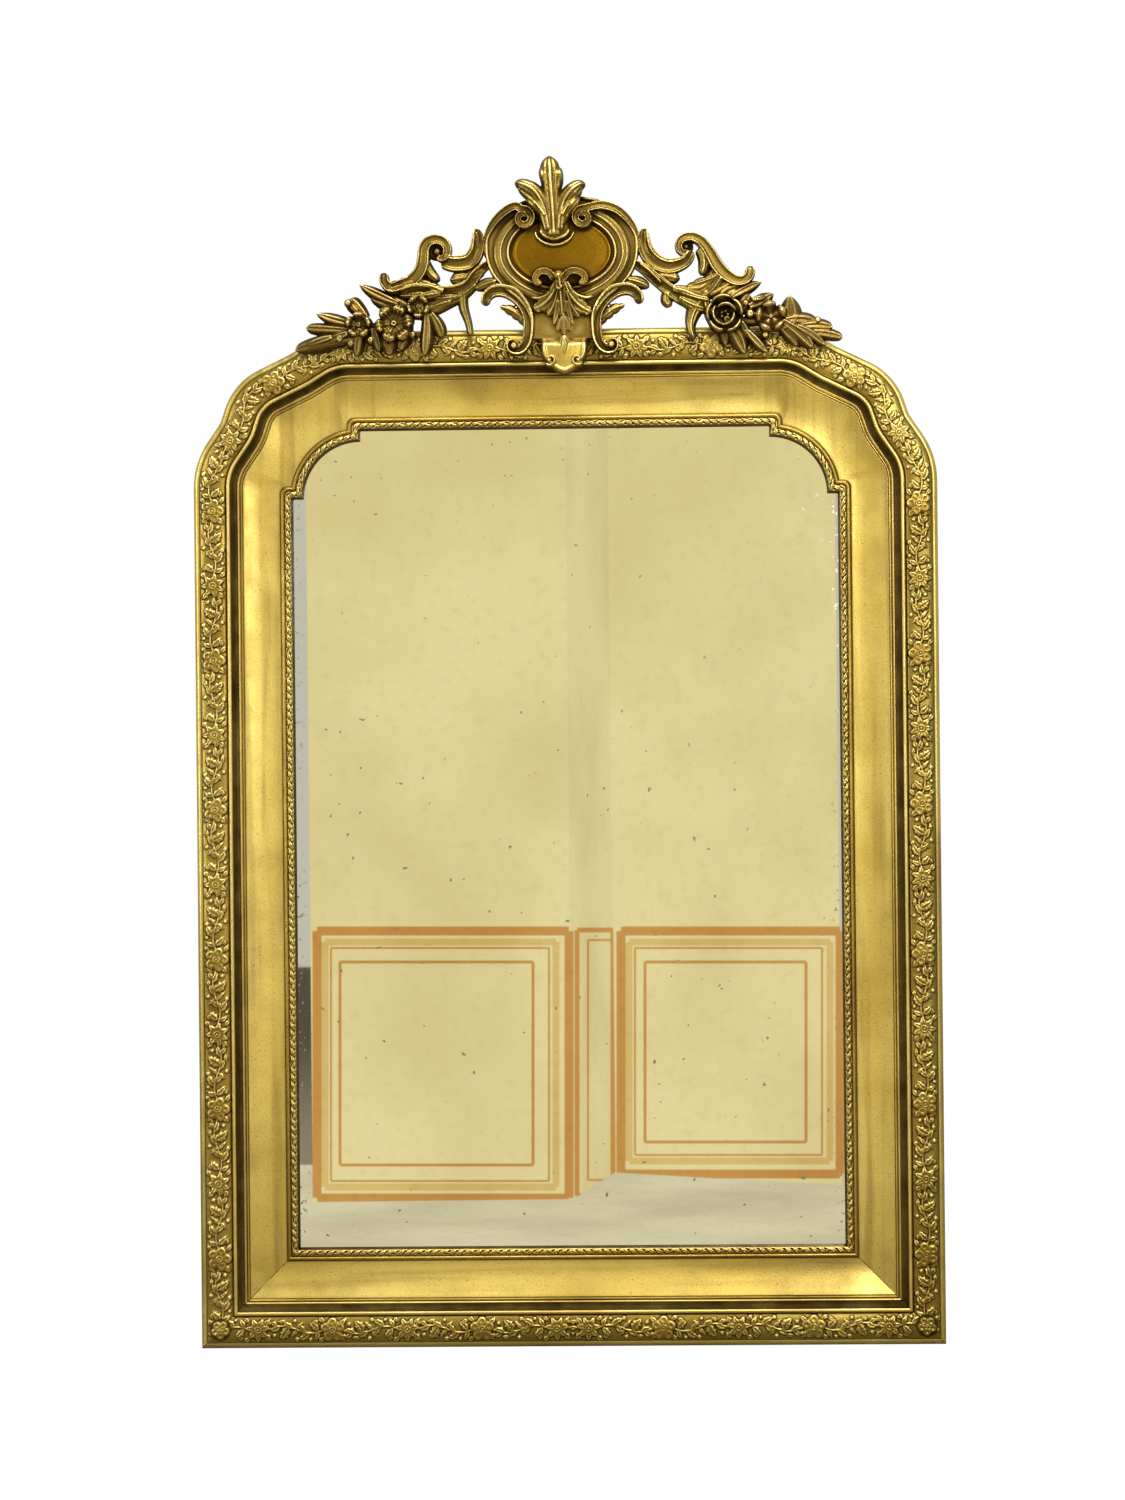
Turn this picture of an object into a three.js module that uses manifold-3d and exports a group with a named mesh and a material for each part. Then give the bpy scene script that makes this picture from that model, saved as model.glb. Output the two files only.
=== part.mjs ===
// Carved and gilded wall mirror with a shouldered frame and a pierced crest, millimetres, +Z up.
// Every piece is drawn as seen from the front: x to the right, y up from the bottom edge of the
// frame, z forward from the wall. The last group turns the whole mirror upright.
import * as THREE from 'three';
import { mergeVertices } from 'three/addons/utils/BufferGeometryUtils.js';
import Module from 'manifold-3d';

const wasm = await Module();
wasm.setup();

// ---- driving dimensions -------------------------------------------------------------------
const frameWidth = 945;
const frameHeight = 1292;
const clearance = 0.3;

// moulding of the frame members, widths measured inward from the outer edge
const wallHeight = 46;
const edgeStripWidth = 7.5;
const edgeStripHeight = 50;
const torusWidth = 33.5;
const torusRise = 4;
const ridgeWidth = 6;
const ridgeHeight = 54;
const cavettoWidth = 7;
const cavettoHeight = 42.5;
const beadWidth = 9;
const beadRise = 3;
const coveWidth = 45;
const coveTopHeight = 42;
const coveFootHeight = 33;
const sightWidth = 17;
const seatHeight = 29;
const lipWidth = 8;

// shoulder outline: its corners, measured in from the side and down from the top, and their radii
const shoulderLength = 232;
const shoulderCorners = [
  { inset: 0, drop: 165, radius: 105 },
  { inset: 35, drop: 114, radius: -25 },
  { inset: 51.8, drop: 63.1, radius: 84 },
  { inset: 124, drop: 28, radius: -60 },
  { inset: 169.5, drop: 0, radius: 105 },
];
const shoulderArcSteps = [3, 2, 5, 2, 3];

// scalloped top corners of the sight opening
const scallopRadius = 73;
const scallopStep = 13.5;
const earRadius = 1.5;
const earSteps = 2;

// floral bands on the torus
const bandThickness = 2.6;
const bandRise = 5.5;

// sight-edge moulding
const ribbonHeight = 37.5;
const sightFootHeight = 26.2;

// glass and backing
const glassThickness = 4;
const rebateHeight = 26;
const glassClearance = 2;
const stripWidth = 9;
const stripThickness = 7.8;
const boardThickness = 8;
const boardCount = 5;

// keys let into the back of the joints
const keyLength = 70;
const keyWaist = 14;
const keyEnd = 26;
const keyDepth = 7;

// crest: the plane of its back, the grid steps across the frame's width that it is drawn on, and
// its own sizes in those steps
const crestBack = 60;
const crestGridSteps = 945;
const crestSteps = {
  lean: 1.6,
  slab: 11,
  rimRise: 20,
  ringRise: 21,
  ovalHeight: 94,
  ovalHalfWidth: 65,
  ovalHalfHeight: 44,
  plaqueRise: 4,
  plaqueInset: 2.5,
  claspStand: 4,
  sprayStand: 1,
};

// brackets that carry the crest
const bracketTongue = 14;
const centreBracketDrop = 96;
const centreBracketWidth = 54;
const centreBracketTop = 104;
const sideBracketWidth = 32;
const sideBracketTop = 32;
const sideBracketDrop = 40;
const sideBracketShare = 0.45;

// hanging hardware
const hangerHeight = 930;
const hangerInset = 58;
const plateWidth = 24;
const plateLength = 46;
const plateThickness = 1.6;
const ringWire = 3.2;
const ringWidth = 37;
const ringDrop = 30;
const sleeveLength = 22;
const sleeveWall = 1.6;

// ---- sizes that follow --------------------------------------------------------------------
const halfWidth = frameWidth / 2;
const coveStart = edgeStripWidth + torusWidth + ridgeWidth + cavettoWidth + beadWidth;
const memberWidth = coveStart + coveWidth + sightWidth;
const rebateInset = memberWidth - sightWidth + lipWidth;
const lipReach = sightWidth - lipWidth;
const sightHalf = halfWidth - memberWidth;
const sightTop = frameHeight - memberWidth;
const rebateHalf = halfWidth - rebateInset;
const rebateTop = frameHeight - rebateInset;
const mitreGap = clearance / Math.SQRT2;
const crestGrid = frameWidth / crestGridSteps;
const crestSize = {};
for (const [name, steps] of Object.entries(crestSteps)) crestSize[name] = steps * crestGrid;
const ovalCentre = new THREE.Vector3(0, crestSize.ovalHeight, 0);
const jointHeight = frameHeight - shoulderLength;
const jointReach = halfWidth - shoulderLength;

// ---- materials ----------------------------------------------------------------------------
function finish(color, roughness, metalness) {
  return new THREE.MeshStandardMaterial({ color, roughness, metalness });
}
const gilt = finish(0xcdb25a, 0.45, 0.7);
const agedGilt = finish(0xab8a3a, 0.5, 0.6);
const crestGilt = finish(0x9a7a34, 0.5, 0.6);
const plaqueGilt = finish(0x7d6420, 0.55, 0.5);
const silvered = finish(0xdfe2dc, 0.03, 1);
const pine = finish(0xa98556, 0.8, 0);
const hardwood = finish(0x7c5a36, 0.7, 0);
const iron = finish(0x4c4742, 0.55, 0.8);

// ---- solids from rings --------------------------------------------------------------------
function makeGeometry(points, triangles) {
  const geometry = new THREE.BufferGeometry();
  geometry.setAttribute('position', new THREE.Float32BufferAttribute(points.flatMap((p) => [p.x, p.y, p.z]), 3));
  geometry.setIndex(triangles);
  return geometry;
}

function signedVolume(points, triangles) {
  let volume = 0;
  for (let i = 0; i < triangles.length; i += 3) {
    const [a, b, c] = triangles.slice(i, i + 3).map((index) => points[index]);
    volume += a.dot(b.clone().cross(c)) / 6;
  }
  return volume;
}

// Triangles over a flat ring, wound the same way as the ring itself.
function capTriangles(ring, firstIndex) {
  const normal = new THREE.Vector3();
  ring.forEach((point, i) => normal.add(point.clone().cross(ring[(i + 1) % ring.length])));
  normal.normalize();
  const across = ring[1].clone().sub(ring[0]).normalize();
  const up = normal.clone().cross(across);
  const flat = ring.map((point) => new THREE.Vector2(point.dot(across), point.dot(up)));
  return THREE.ShapeUtils.triangulateShape(flat, []).flatMap(([a, b, c]) => {
    const ab = flat[b].clone().sub(flat[a]);
    const ac = flat[c].clone().sub(flat[a]);
    const turn = ab.x * ac.y - ab.y * ac.x;
    const order = turn > 0 ? [a, b, c] : [a, c, b];
    return order.map((index) => index + firstIndex);
  });
}

// A closed solid through equal rings of points: capped at both ends, or joined end to end.
function loft(rings, { loop = false } = {}) {
  const size = rings[0].length;
  const points = rings.flat();
  const triangles = [];
  const spans = loop ? rings.length : rings.length - 1;
  for (let k = 0; k < spans; k += 1) {
    const here = k * size;
    const next = ((k + 1) % rings.length) * size;
    for (let i = 0; i < size; i += 1) {
      const j = (i + 1) % size;
      triangles.push(here + i, here + j, next + j, here + i, next + j, next + i);
    }
  }
  if (!loop) {
    const first = capTriangles(rings[0], 0);
    for (let i = 0; i < first.length; i += 3) triangles.push(first[i], first[i + 2], first[i + 1]);
    triangles.push(...capTriangles(rings[rings.length - 1], (rings.length - 1) * size));
  }
  if (signedVolume(points, triangles) < 0) triangles.reverse();
  return makeGeometry(points, triangles);
}

function toSolid(geometry) {
  const bare = geometry.clone();
  bare.deleteAttribute('normal');
  bare.deleteAttribute('uv');
  const merged = mergeVertices(bare, 1e-4);
  return new wasm.Manifold(new wasm.Mesh({
    numProp: 3,
    vertProperties: new Float32Array(merged.attributes.position.array),
    triVerts: new Uint32Array(merged.index.array),
  }));
}

function fromSolid(solid) {
  const mesh = solid.getMesh();
  const geometry = new THREE.BufferGeometry();
  geometry.setAttribute('position', new THREE.BufferAttribute(new Float32Array(mesh.vertProperties), 3));
  geometry.setIndex(new THREE.BufferAttribute(new Uint32Array(mesh.triVerts), 1));
  return geometry;
}

function joined(geometries) {
  return geometries.map(toSolid).reduce((whole, piece) => whole.add(piece));
}

function without(geometry, cutters) {
  return fromSolid(cutters.map(toSolid).reduce((whole, cutter) => whole.subtract(cutter), toSolid(geometry)));
}

function box(xMin, xMax, yMin, yMax, zMin, zMax) {
  const geometry = new THREE.BoxGeometry(xMax - xMin, yMax - yMin, zMax - zMin);
  return geometry.translate((xMin + xMax) / 2, (yMin + yMax) / 2, (zMin + zMax) / 2);
}

function mirrored(geometry) {
  const turned = geometry.clone().scale(-1, 1, 1);
  const index = Array.from(turned.index.array).reverse();
  turned.setIndex(index);
  return turned;
}

function mix(a, b, t) {
  return a + (b - a) * t;
}

// ---- contours of the right shoulder -------------------------------------------------------
// The outer edge moved inward by a distance: straight from the joint, round each corner, straight on.
function outerContour(inward) {
  const corners = shoulderCorners.map((c) => new THREE.Vector2(halfWidth - c.inset, frameHeight - c.drop));
  const path = [new THREE.Vector2(halfWidth, jointHeight), ...corners, new THREE.Vector2(jointReach, frameHeight)];
  const directions = path.slice(1).map((point, i) => point.clone().sub(path[i]).normalize());
  const contour = [new THREE.Vector2(halfWidth - inward, jointHeight + clearance / 2)];
  corners.forEach((corner, i) => {
    const before = directions[i];
    const after = directions[i + 1];
    const turn = Math.sign(before.x * after.y - before.y * after.x);
    const bend = Math.acos(before.dot(after));
    const radius = Math.abs(shoulderCorners[i].radius);
    const tangent = radius * Math.tan(bend / 2);
    const start = corner.clone().addScaledVector(before, -tangent);
    const side = new THREE.Vector2(-before.y, before.x).multiplyScalar(turn);
    const centre = start.clone().addScaledVector(side, radius);
    const offsetRadius = radius - turn * inward;
    for (let k = 0; k <= shoulderArcSteps[i]; k += 1) {
      const angle = turn * bend * (k / shoulderArcSteps[i]);
      const arm = side.clone().negate().rotateAround(new THREE.Vector2(), angle);
      contour.push(centre.clone().addScaledVector(arm, offsetRadius));
    }
  });
  contour.push(new THREE.Vector2(jointReach + clearance / 2, frameHeight - inward));
  return contour;
}

// The sight edge moved outward: up the side, round the ear, over the scallop, round the other ear.
function sightContour(outward) {
  const centre = new THREE.Vector2(sightHalf - scallopStep - scallopRadius, sightTop - scallopStep - scallopRadius);
  const radius = scallopRadius + outward;
  const round = earRadius + outward / 2;
  const contour = [new THREE.Vector2(sightHalf + outward, jointHeight + clearance / 2)];
  const addEar = (x, y) => {
    for (let k = 0; k <= earSteps; k += 1) {
      const angle = (Math.PI / 2) * (k / earSteps);
      contour.push(new THREE.Vector2(x - round + round * Math.cos(angle), y - round + round * Math.sin(angle)));
    }
  };
  addEar(sightHalf + outward, centre.y + outward);
  const first = Math.asin(outward / radius);
  const arcPoints = outerContour(0).length - 2 * (earSteps + 2);
  for (let k = 0; k < arcPoints; k += 1) {
    const angle = mix(first, Math.PI / 2 - first, k / (arcPoints - 1));
    contour.push(new THREE.Vector2(centre.x + radius * Math.cos(angle), centre.y + radius * Math.sin(angle)));
  }
  addEar(centre.x + outward, sightTop + outward);
  contour.push(new THREE.Vector2(jointReach + clearance / 2, sightTop + outward));
  return contour;
}

// ---- the moulding -------------------------------------------------------------------------
const torusStart = edgeStripWidth;
const ridgeStart = torusStart + torusWidth;
const cavettoStart = ridgeStart + ridgeWidth;
const beadStart = cavettoStart + cavettoWidth;

// The torus is cut to five flats; a share runs across it from its outer edge (0) to its inner (1).
const torusShares = [0, 0.15, 0.5, 0.85, 1];

function torusHeight(share, rise) {
  const next = Math.max(1, torusShares.findIndex((s) => s >= share));
  const [low, high] = [torusShares[next - 1], torusShares[next]];
  const swell = (s) => edgeStripHeight + rise * Math.sqrt(1 - (2 * s - 1) ** 2);
  return mix(swell(low), swell(high), (share - low) / (high - low));
}

// Rows of the front face from the outer edge to the foot of the cove. A row with t lies between
// the cove's start (t = 0) and its foot (t = 1).
function mouldingRows() {
  const rows = [{ inward: 0, height: 0 }, { inward: 0, height: wallHeight }];
  rows.push({ inward: 2, height: edgeStripHeight - 1 });
  for (const share of torusShares) {
    rows.push({ inward: torusStart + torusWidth * share, height: torusHeight(share, torusRise) });
  }
  rows.push({ inward: ridgeStart + 1.5, height: ridgeHeight });
  rows.push({ inward: cavettoStart, height: ridgeHeight });
  rows.push({ inward: cavettoStart + cavettoWidth * 0.3, height: mix(ridgeHeight, cavettoHeight, 0.75) });
  rows.push({ inward: beadStart, height: cavettoHeight });
  rows.push({ inward: beadStart + beadWidth * 0.3, height: cavettoHeight + beadRise });
  rows.push({ inward: beadStart + beadWidth * 0.6, height: cavettoHeight });
  rows.push({ inward: beadStart + beadWidth * 0.85, height: cavettoHeight + beadRise * 0.6 });
  for (const share of [0, 0.25, 0.6, 1]) {
    const sag = (1 - share) ** 2;
    rows.push({ t: share, height: mix(coveFootHeight, coveTopHeight, sag) });
  }
  return rows;
}

// One ring of a straight member's section, in (inward, height), closed through the back.
function memberSection() {
  const coveFoot = memberWidth - sightWidth;
  const front = mouldingRows().map((row) => [row.inward ?? mix(coveStart, coveFoot, row.t), row.height]);
  return [...front, [coveFoot, seatHeight], [rebateInset, seatHeight], [rebateInset, 0]];
}

function sightSection() {
  const outer = sightWidth - clearance;
  return [
    [0, sightFootHeight], [0, ribbonHeight - 3], [3, ribbonHeight], [8.5, ribbonHeight],
    [11, ribbonHeight - 3.5], [14, ribbonHeight + 0.5], [outer, ribbonHeight - 1.5],
    [outer, seatHeight + clearance], [lipReach - clearance, seatHeight + clearance],
    [lipReach - clearance, sightFootHeight],
  ];
}

function bandSection() {
  const margin = 0.03;
  const shares = [margin, ...torusShares.slice(1, -1), 1 - margin];
  const point = (share, rise, lift) => [torusStart + torusWidth * share, torusHeight(share, rise) + lift];
  const top = shares.map((share) => point(share, bandRise, bandThickness));
  const under = shares.map((share) => point(share, torusRise, clearance));
  return [...top, ...under.reverse()];
}

// A straight member along the bottom, mitred at both ends.
function bottomMember(section) {
  const end = (side) => section.map(([inward, height]) => (
    new THREE.Vector3(side * (halfWidth - inward - mitreGap), inward, height)));
  return loft([end(-1), end(1)]);
}

// The right-hand upright member, mitred at its foot and square at the joint to the shoulder.
function uprightMember(section) {
  const foot = section.map(([inward, height]) => new THREE.Vector3(halfWidth - inward, inward + mitreGap, height));
  const head = section.map(([inward, height]) => (
    new THREE.Vector3(halfWidth - inward, jointHeight - clearance / 2, height)));
  return loft([foot, head]);
}

function topMember(section) {
  const end = (side) => section.map(([inward, height]) => (
    new THREE.Vector3(side * (jointReach - clearance / 2), frameHeight - inward, height)));
  return loft([end(-1), end(1)]);
}

// A moulding bent round the right shoulder; each row is a contour at its own height.
function shoulderMember(rows) {
  const contours = rows.map((row) => row.contour.map((p) => new THREE.Vector3(p.x, p.y, row.height)));
  return loft(contours[0].map((_, station) => contours.map((contour) => contour[station])));
}

function shoulderBlock() {
  const start = outerContour(coveStart);
  const foot = sightContour(sightWidth);
  const rows = mouldingRows().map((row) => {
    if (row.t === undefined) return { contour: outerContour(row.inward), height: row.height };
    return { contour: start.map((p, i) => p.clone().lerp(foot[i], row.t)), height: row.height };
  });
  rows.push({ contour: foot, height: seatHeight });
  rows.push({ contour: sightContour(lipReach), height: seatHeight });
  rows.push({ contour: sightContour(lipReach), height: 0 });
  const spandrelCut = box(0, rebateHalf, 0, rebateTop, -1, rebateHeight);
  return without(shoulderMember(rows), [spandrelCut]);
}

function shoulderBand() {
  return shoulderMember(bandSection().map(([inward, height]) => ({ contour: outerContour(inward), height })));
}

function sightCorner() {
  return shoulderMember(sightSection().map(([outward, height]) => ({ contour: sightContour(outward), height })));
}

function sightStraight(section) {
  return section.map(([outward, height]) => [memberWidth - outward, height]);
}

// ---- keys across the back of the joints ---------------------------------------------------
function keyShape(grow) {
  const half = keyLength / 2 + grow;
  const end = keyEnd / 2 + grow;
  const waist = keyWaist / 2 + grow;
  const shape = new THREE.Shape();
  shape.moveTo(-half, -end);
  shape.lineTo(0, -waist);
  shape.lineTo(half, -end);
  shape.lineTo(half, end);
  shape.lineTo(0, waist);
  shape.lineTo(-half, end);
  shape.closePath();
  return shape;
}

function keySolid(place, grow) {
  const depth = keyDepth + grow;
  const geometry = mergeVertices(bareExtrude(keyShape(grow), depth));
  geometry.rotateZ(place.angle);
  return geometry.translate(place.x, place.y, 0);
}

function bareExtrude(shape, depth) {
  const geometry = new THREE.ExtrudeGeometry(shape, { depth, bevelEnabled: false, curveSegments: 4 });
  geometry.deleteAttribute('normal');
  geometry.deleteAttribute('uv');
  return geometry;
}

const keyPlaces = {
  mitre_key: { x: halfWidth - rebateInset / 2, y: rebateInset / 2, angle: -Math.PI / 4 },
  stile_key: { x: halfWidth - rebateInset / 2, y: jointHeight, angle: Math.PI / 2 },
  top_key: { x: jointReach, y: frameHeight - rebateInset / 2, angle: 0 },
};

function keyCutters() {
  return Object.values(keyPlaces).flatMap((place) => {
    const cutter = keySolid(place, clearance).translate(0, 0, -clearance);
    return [cutter, mirrored(cutter)];
  });
}

// ---- glass and backing --------------------------------------------------------------------
const glassBack = rebateHeight - clearance - glassThickness;
const stripFront = glassBack - clearance;
const boardFront = stripFront - stripThickness - clearance;

function backboard(index) {
  const fitting = glassClearance;
  const low = rebateInset + fitting;
  const step = (rebateTop - fitting - low) / boardCount;
  const bottom = low + step * index;
  const half = rebateHalf - fitting;
  return box(-half, half, bottom, bottom + step - clearance, boardFront - boardThickness, boardFront);
}

// ---- crest helpers ------------------------------------------------------------------------
// The crest is drawn in grid steps: x to the right, y up from the frame's top edge. Its solids
// stand forward from the plane of its back and are set on the frame when the pieces are added.
function crestPoints(pairs) {
  return pairs.map(([x, y]) => new THREE.Vector3(x * crestGrid, y * crestGrid, 0));
}

// How far the carving leans forward with its height above the frame.
function lean(y) {
  return crestSize.lean * Math.max(0, y / crestSize.ovalHeight) ** 2;
}

// A value along a list that is spread evenly over t = 0 to 1.
function along(values, t) {
  const place = t * (values.length - 1);
  const low = Math.min(Math.floor(place), values.length - 2);
  return mix(values[low], values[low + 1], place - low);
}

// A carved band along a line: two raised lips with a hollow between, its ends rounded off.
// heads gives the share of its length that each end takes to round off. To grow it, its edges and
// its face move outward while the slopes of the hollow stay where they are.
function strap(pairs, { widths, rise, base = 0, steps, grow = 0, heads = [0.05, 0.08] }) {
  const curve = new THREE.CatmullRomCurve3(crestPoints(pairs), false, 'centripetal');
  const section = [[-1, 0], [-1, 0.6], [-0.6, 1], [0, 0.72], [0.6, 1], [1, 0.6], [1, 0]];
  const stations = [0, heads[0]];
  const count = steps ?? Math.round(pairs.length * 1.5);
  for (let k = 1; k < count; k += 1) stations.push(mix(heads[0], 1 - heads[1], k / count));
  stations.push(1 - heads[1], 1 - heads[1] / 3, 1);
  return loft(stations.map((t) => {
    const point = curve.getPointAt(t);
    const tangent = curve.getTangentAt(t);
    const across = new THREE.Vector3(-tangent.y, tangent.x, 0).normalize();
    const bare = Math.max(0, 1 - t / heads[0], 1 - (1 - t) / heads[1]);
    const half = crestGrid * along(widths, t) * Math.sqrt(1 - 0.85 * bare ** 2);
    const tall = crestGrid * rise * (1 - 0.25 * bare);
    if (t === 0) point.addScaledVector(tangent, -grow);
    if (t === 1) point.addScaledVector(tangent, grow);
    return section.map(([side, up]) => {
      const place = point.clone().addScaledVector(across, half * side + grow * Math.trunc(side));
      place.z = up === 0 ? base - grow : base + tall * up + grow;
      return place;
    });
  }));
}

// A carved leaf: a bent midrib between two slopes that swells, narrows and lifts toward its tip.
// full is the share of its length at which it is widest, blunt the share of width left at the tip.
function leaf({ from, to, width, bend = 0, rise = 12, lift = 0, base = 0, steps = 4, blunt = 0.1, full = 0.45 }) {
  const [start, end] = crestPoints([from, to]);
  const span = end.clone().sub(start);
  const middle = start.clone().lerp(end, 0.5).add(new THREE.Vector3(-span.y, span.x, 0).setLength(bend * crestGrid));
  const curve = new THREE.QuadraticBezierCurve3(start, middle, end);
  const section = [[-1, 0], [-1, 0.45], [0, 1], [1, 0.45], [1, 0]];
  const stations = Array.from({ length: steps }, (_, k) => k / steps);
  stations.push(1 - 0.3 / steps, 1);
  return loft(stations.map((t) => {
    const point = curve.getPoint(t);
    const tangent = curve.getTangent(t).normalize();
    const away = t < full ? (full - t) / full : (t - full) / (1 - full);
    const tip = t === 1 ? 0.5 : 1;
    const half = crestGrid * width * tip * (t < full ? 1 - 0.45 * away ** 2 : 1 - (1 - blunt) * away ** 2.2);
    const raised = crestGrid * lift * t * t;
    const height = crestGrid * rise * (1 - 0.45 * t) + raised;
    return section.map(([side, up]) => new THREE.Vector3(
      point.x - tangent.y * half * side,
      point.y + tangent.x * half * side,
      base + (up === 0 ? raised * 0.6 : height * up),
    ));
  }));
}

// A flower seen from the front: lobed outline, dished petals, raised eye.
function blossom({ at, radius, petals = 5, rise = 16, base = 0, notch = 0.24 }) {
  const [centre] = crestPoints([at]);
  const steps = petals * 4;
  const rows = [[1, 0], [1, 0.45], [0.75, 0.85], [0.42, 0.6], [0.22, 1]];
  return loft(rows.map(([share, up]) => Array.from({ length: steps }, (_, k) => {
    const angle = (2 * Math.PI * k) / steps;
    const lobe = 1 - notch * share ** 2 * (1 - Math.abs(Math.sin((petals * angle) / 2)));
    const reach = crestGrid * radius * share * lobe;
    return new THREE.Vector3(
      centre.x + reach * Math.cos(angle),
      centre.y + reach * Math.sin(angle),
      base + crestGrid * rise * up,
    );
  })));
}

// A round bud or boss standing on the ground of the carving.
function bud({ at, radius, rise = radius, base = 0, sides = 8, stretch = 1 }) {
  const [centre] = crestPoints([at]);
  const rows = [[1, 0], [0.95, 0.5], [0.5, 1]];
  return loft(rows.map(([share, up]) => Array.from({ length: sides }, (_, k) => {
    const angle = (2 * Math.PI * k) / sides;
    const reach = crestGrid * radius * share;
    return new THREE.Vector3(
      centre.x + reach * Math.cos(angle),
      centre.y + reach * stretch * Math.sin(angle),
      base + crestGrid * rise * up,
    );
  })));
}

// ---- cartouche ----------------------------------------------------------------------------
// Outline of the cartouche's right half, from the top to the foot of the stem.
const cartoucheHalf = [
  [0, 166], [27, 164], [48, 159.5], [68, 149.5], [85, 134], [95.5, 116], [97.5, 98], [95, 81], [88.5, 65.5],
  [74, 48], [56, 33], [44, 15.5], [40, -6.5], [38, -16],
];

function cartoucheOutline(grow, steps) {
  const left = cartoucheHalf.slice(1).reverse().map(([x, y]) => [-x, y]);
  const curve = new THREE.CatmullRomCurve3(crestPoints([...left, ...cartoucheHalf]), false, 'centripetal');
  return Array.from({ length: steps + 1 }, (_, k) => {
    const point = curve.getPointAt(k / steps);
    const outward = point.clone().sub(ovalCentre).setLength(grow);
    return point.add(outward);
  });
}

function cartoucheBody(grow = 0) {
  const { rimRise, ringRise, slab, ovalHalfWidth, ovalHalfHeight } = crestSize;
  const steps = 32;
  const outline = cartoucheOutline(0, steps);
  const edge = cartoucheOutline(grow, steps);
  const oval = outline.map((point) => {
    const angle = Math.atan2(point.y - ovalCentre.y, point.x - ovalCentre.x);
    const reach = 1 / Math.hypot(Math.cos(angle) / ovalHalfWidth, Math.sin(angle) / ovalHalfHeight);
    return new THREE.Vector3(reach * Math.cos(angle), reach * Math.sin(angle), 0).add(ovalCentre);
  });
  // shares of the way from the outline to the oval, and the height at each
  const rows = [
    [0, 0], [0, rimRise * 0.6], [0.1, rimRise], [0.3, rimRise * 0.55], [0.62, rimRise * 0.5],
    [0.74, ringRise * 0.85], [0.84, ringRise * 0.8], [0.92, ringRise], [1, slab * 1.18], [1.02, slab],
  ];
  return loft(rows.map(([share, up]) => outline.map((point, i) => {
    const place = (share > 0 ? point : edge[i]).clone().lerp(oval[i], share);
    place.z = up > 0 ? up + grow + (share < 1 ? lean(place.y) : 0) : -grow;
    return place;
  })));
}

function lowerScroll(side, grow = 0) {
  const band = [
    [97, 28], [96, 38], [86, 46], [68, 44.5], [53, 33], [44, 16], [43, -3], [46, -20], [54.5, -30],
    [65, -29], [66, -22],
  ];
  const place = ([x, y]) => [side * x, y];
  const main = strap(band.map(place), { widths: [6, 7, 7.5, 8, 7, 6.5, 6.5, 6.5, 6], rise: 18, grow });
  const curl = bud({ at: place([64.5, -24]), radius: 6 + grow, rise: 20, sides: 10 });
  const spur = leaf({ from: place([46, 4]), to: place([79, 27]), width: 7 + grow, bend: side * 9, rise: 9 + grow });
  const ear = leaf({
    from: place([84, 58]), to: place([110 + grow, 49 - grow]), width: 8 + grow,
    bend: side * 3, rise: 15 + grow, blunt: 0.3,
  });
  return [main, curl, spur, ear];
}

function crestCartouche(grow = 0) {
  return joined([cartoucheBody(grow), ...lowerScroll(-1, grow), ...lowerScroll(1, grow)]);
}

function cartouchePlaque(grow = 0) {
  const inside = crestSize.plaqueInset - grow;
  const bottom = crestSize.slab + clearance + grow;
  const rows = [[1, -2 * grow], [1, 1], [0.9, 1], [0.6, 0.55], [0.25, 0.35]];
  const steps = 28;
  return loft(rows.map(([share, up]) => Array.from({ length: steps }, (_, k) => {
    const angle = (2 * Math.PI * k) / steps;
    return new THREE.Vector3(
      ovalCentre.x + (crestSize.ovalHalfWidth - inside) * share * Math.cos(angle),
      ovalCentre.y + (crestSize.ovalHalfHeight - inside) * share * Math.sin(angle),
      bottom + crestSize.plaqueRise * up,
    );
  })));
}

// ---- lower lobe, clasp and finial ---------------------------------------------------------
function crestLobe() {
  const right = [[36, -8], [31, -17], [31.5, -27], [30, -37], [25, -47], [15, -55.5], [2, -61]];
  const left = [[-11, -55.5], [-20.5, -47], [-26, -37], [-27.5, -27], [-27, -17], [-32, -10]];
  const [centre] = crestPoints([[2.5, -32]]);
  const curve = new THREE.CatmullRomCurve3(crestPoints([...right, ...left]), false, 'centripetal');
  const outline = Array.from({ length: 29 }, (_, k) => curve.getPointAt(k / 28));
  const rows = [[0, 0], [0, 10], [0.22, 19], [0.5, 24], [0.85, 26]];
  const dome = loft(rows.map(([share, up]) => outline.map((point) => {
    const place = point.clone().lerp(centre, share);
    place.z = crestGrid * up;
    return place;
  })));
  const curls = [-15.5, 18.5].map((x) => bud({ at: [x, -43], radius: 6.5, rise: 26, sides: 12 }));
  const drop = leaf({ from: [2.5, -13], to: [2.5, -38], width: 7, rise: 31, steps: 5 });
  return fromSolid(joined([dome, ...curls, drop]).subtract(crestCartouche(clearance)));
}

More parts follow.
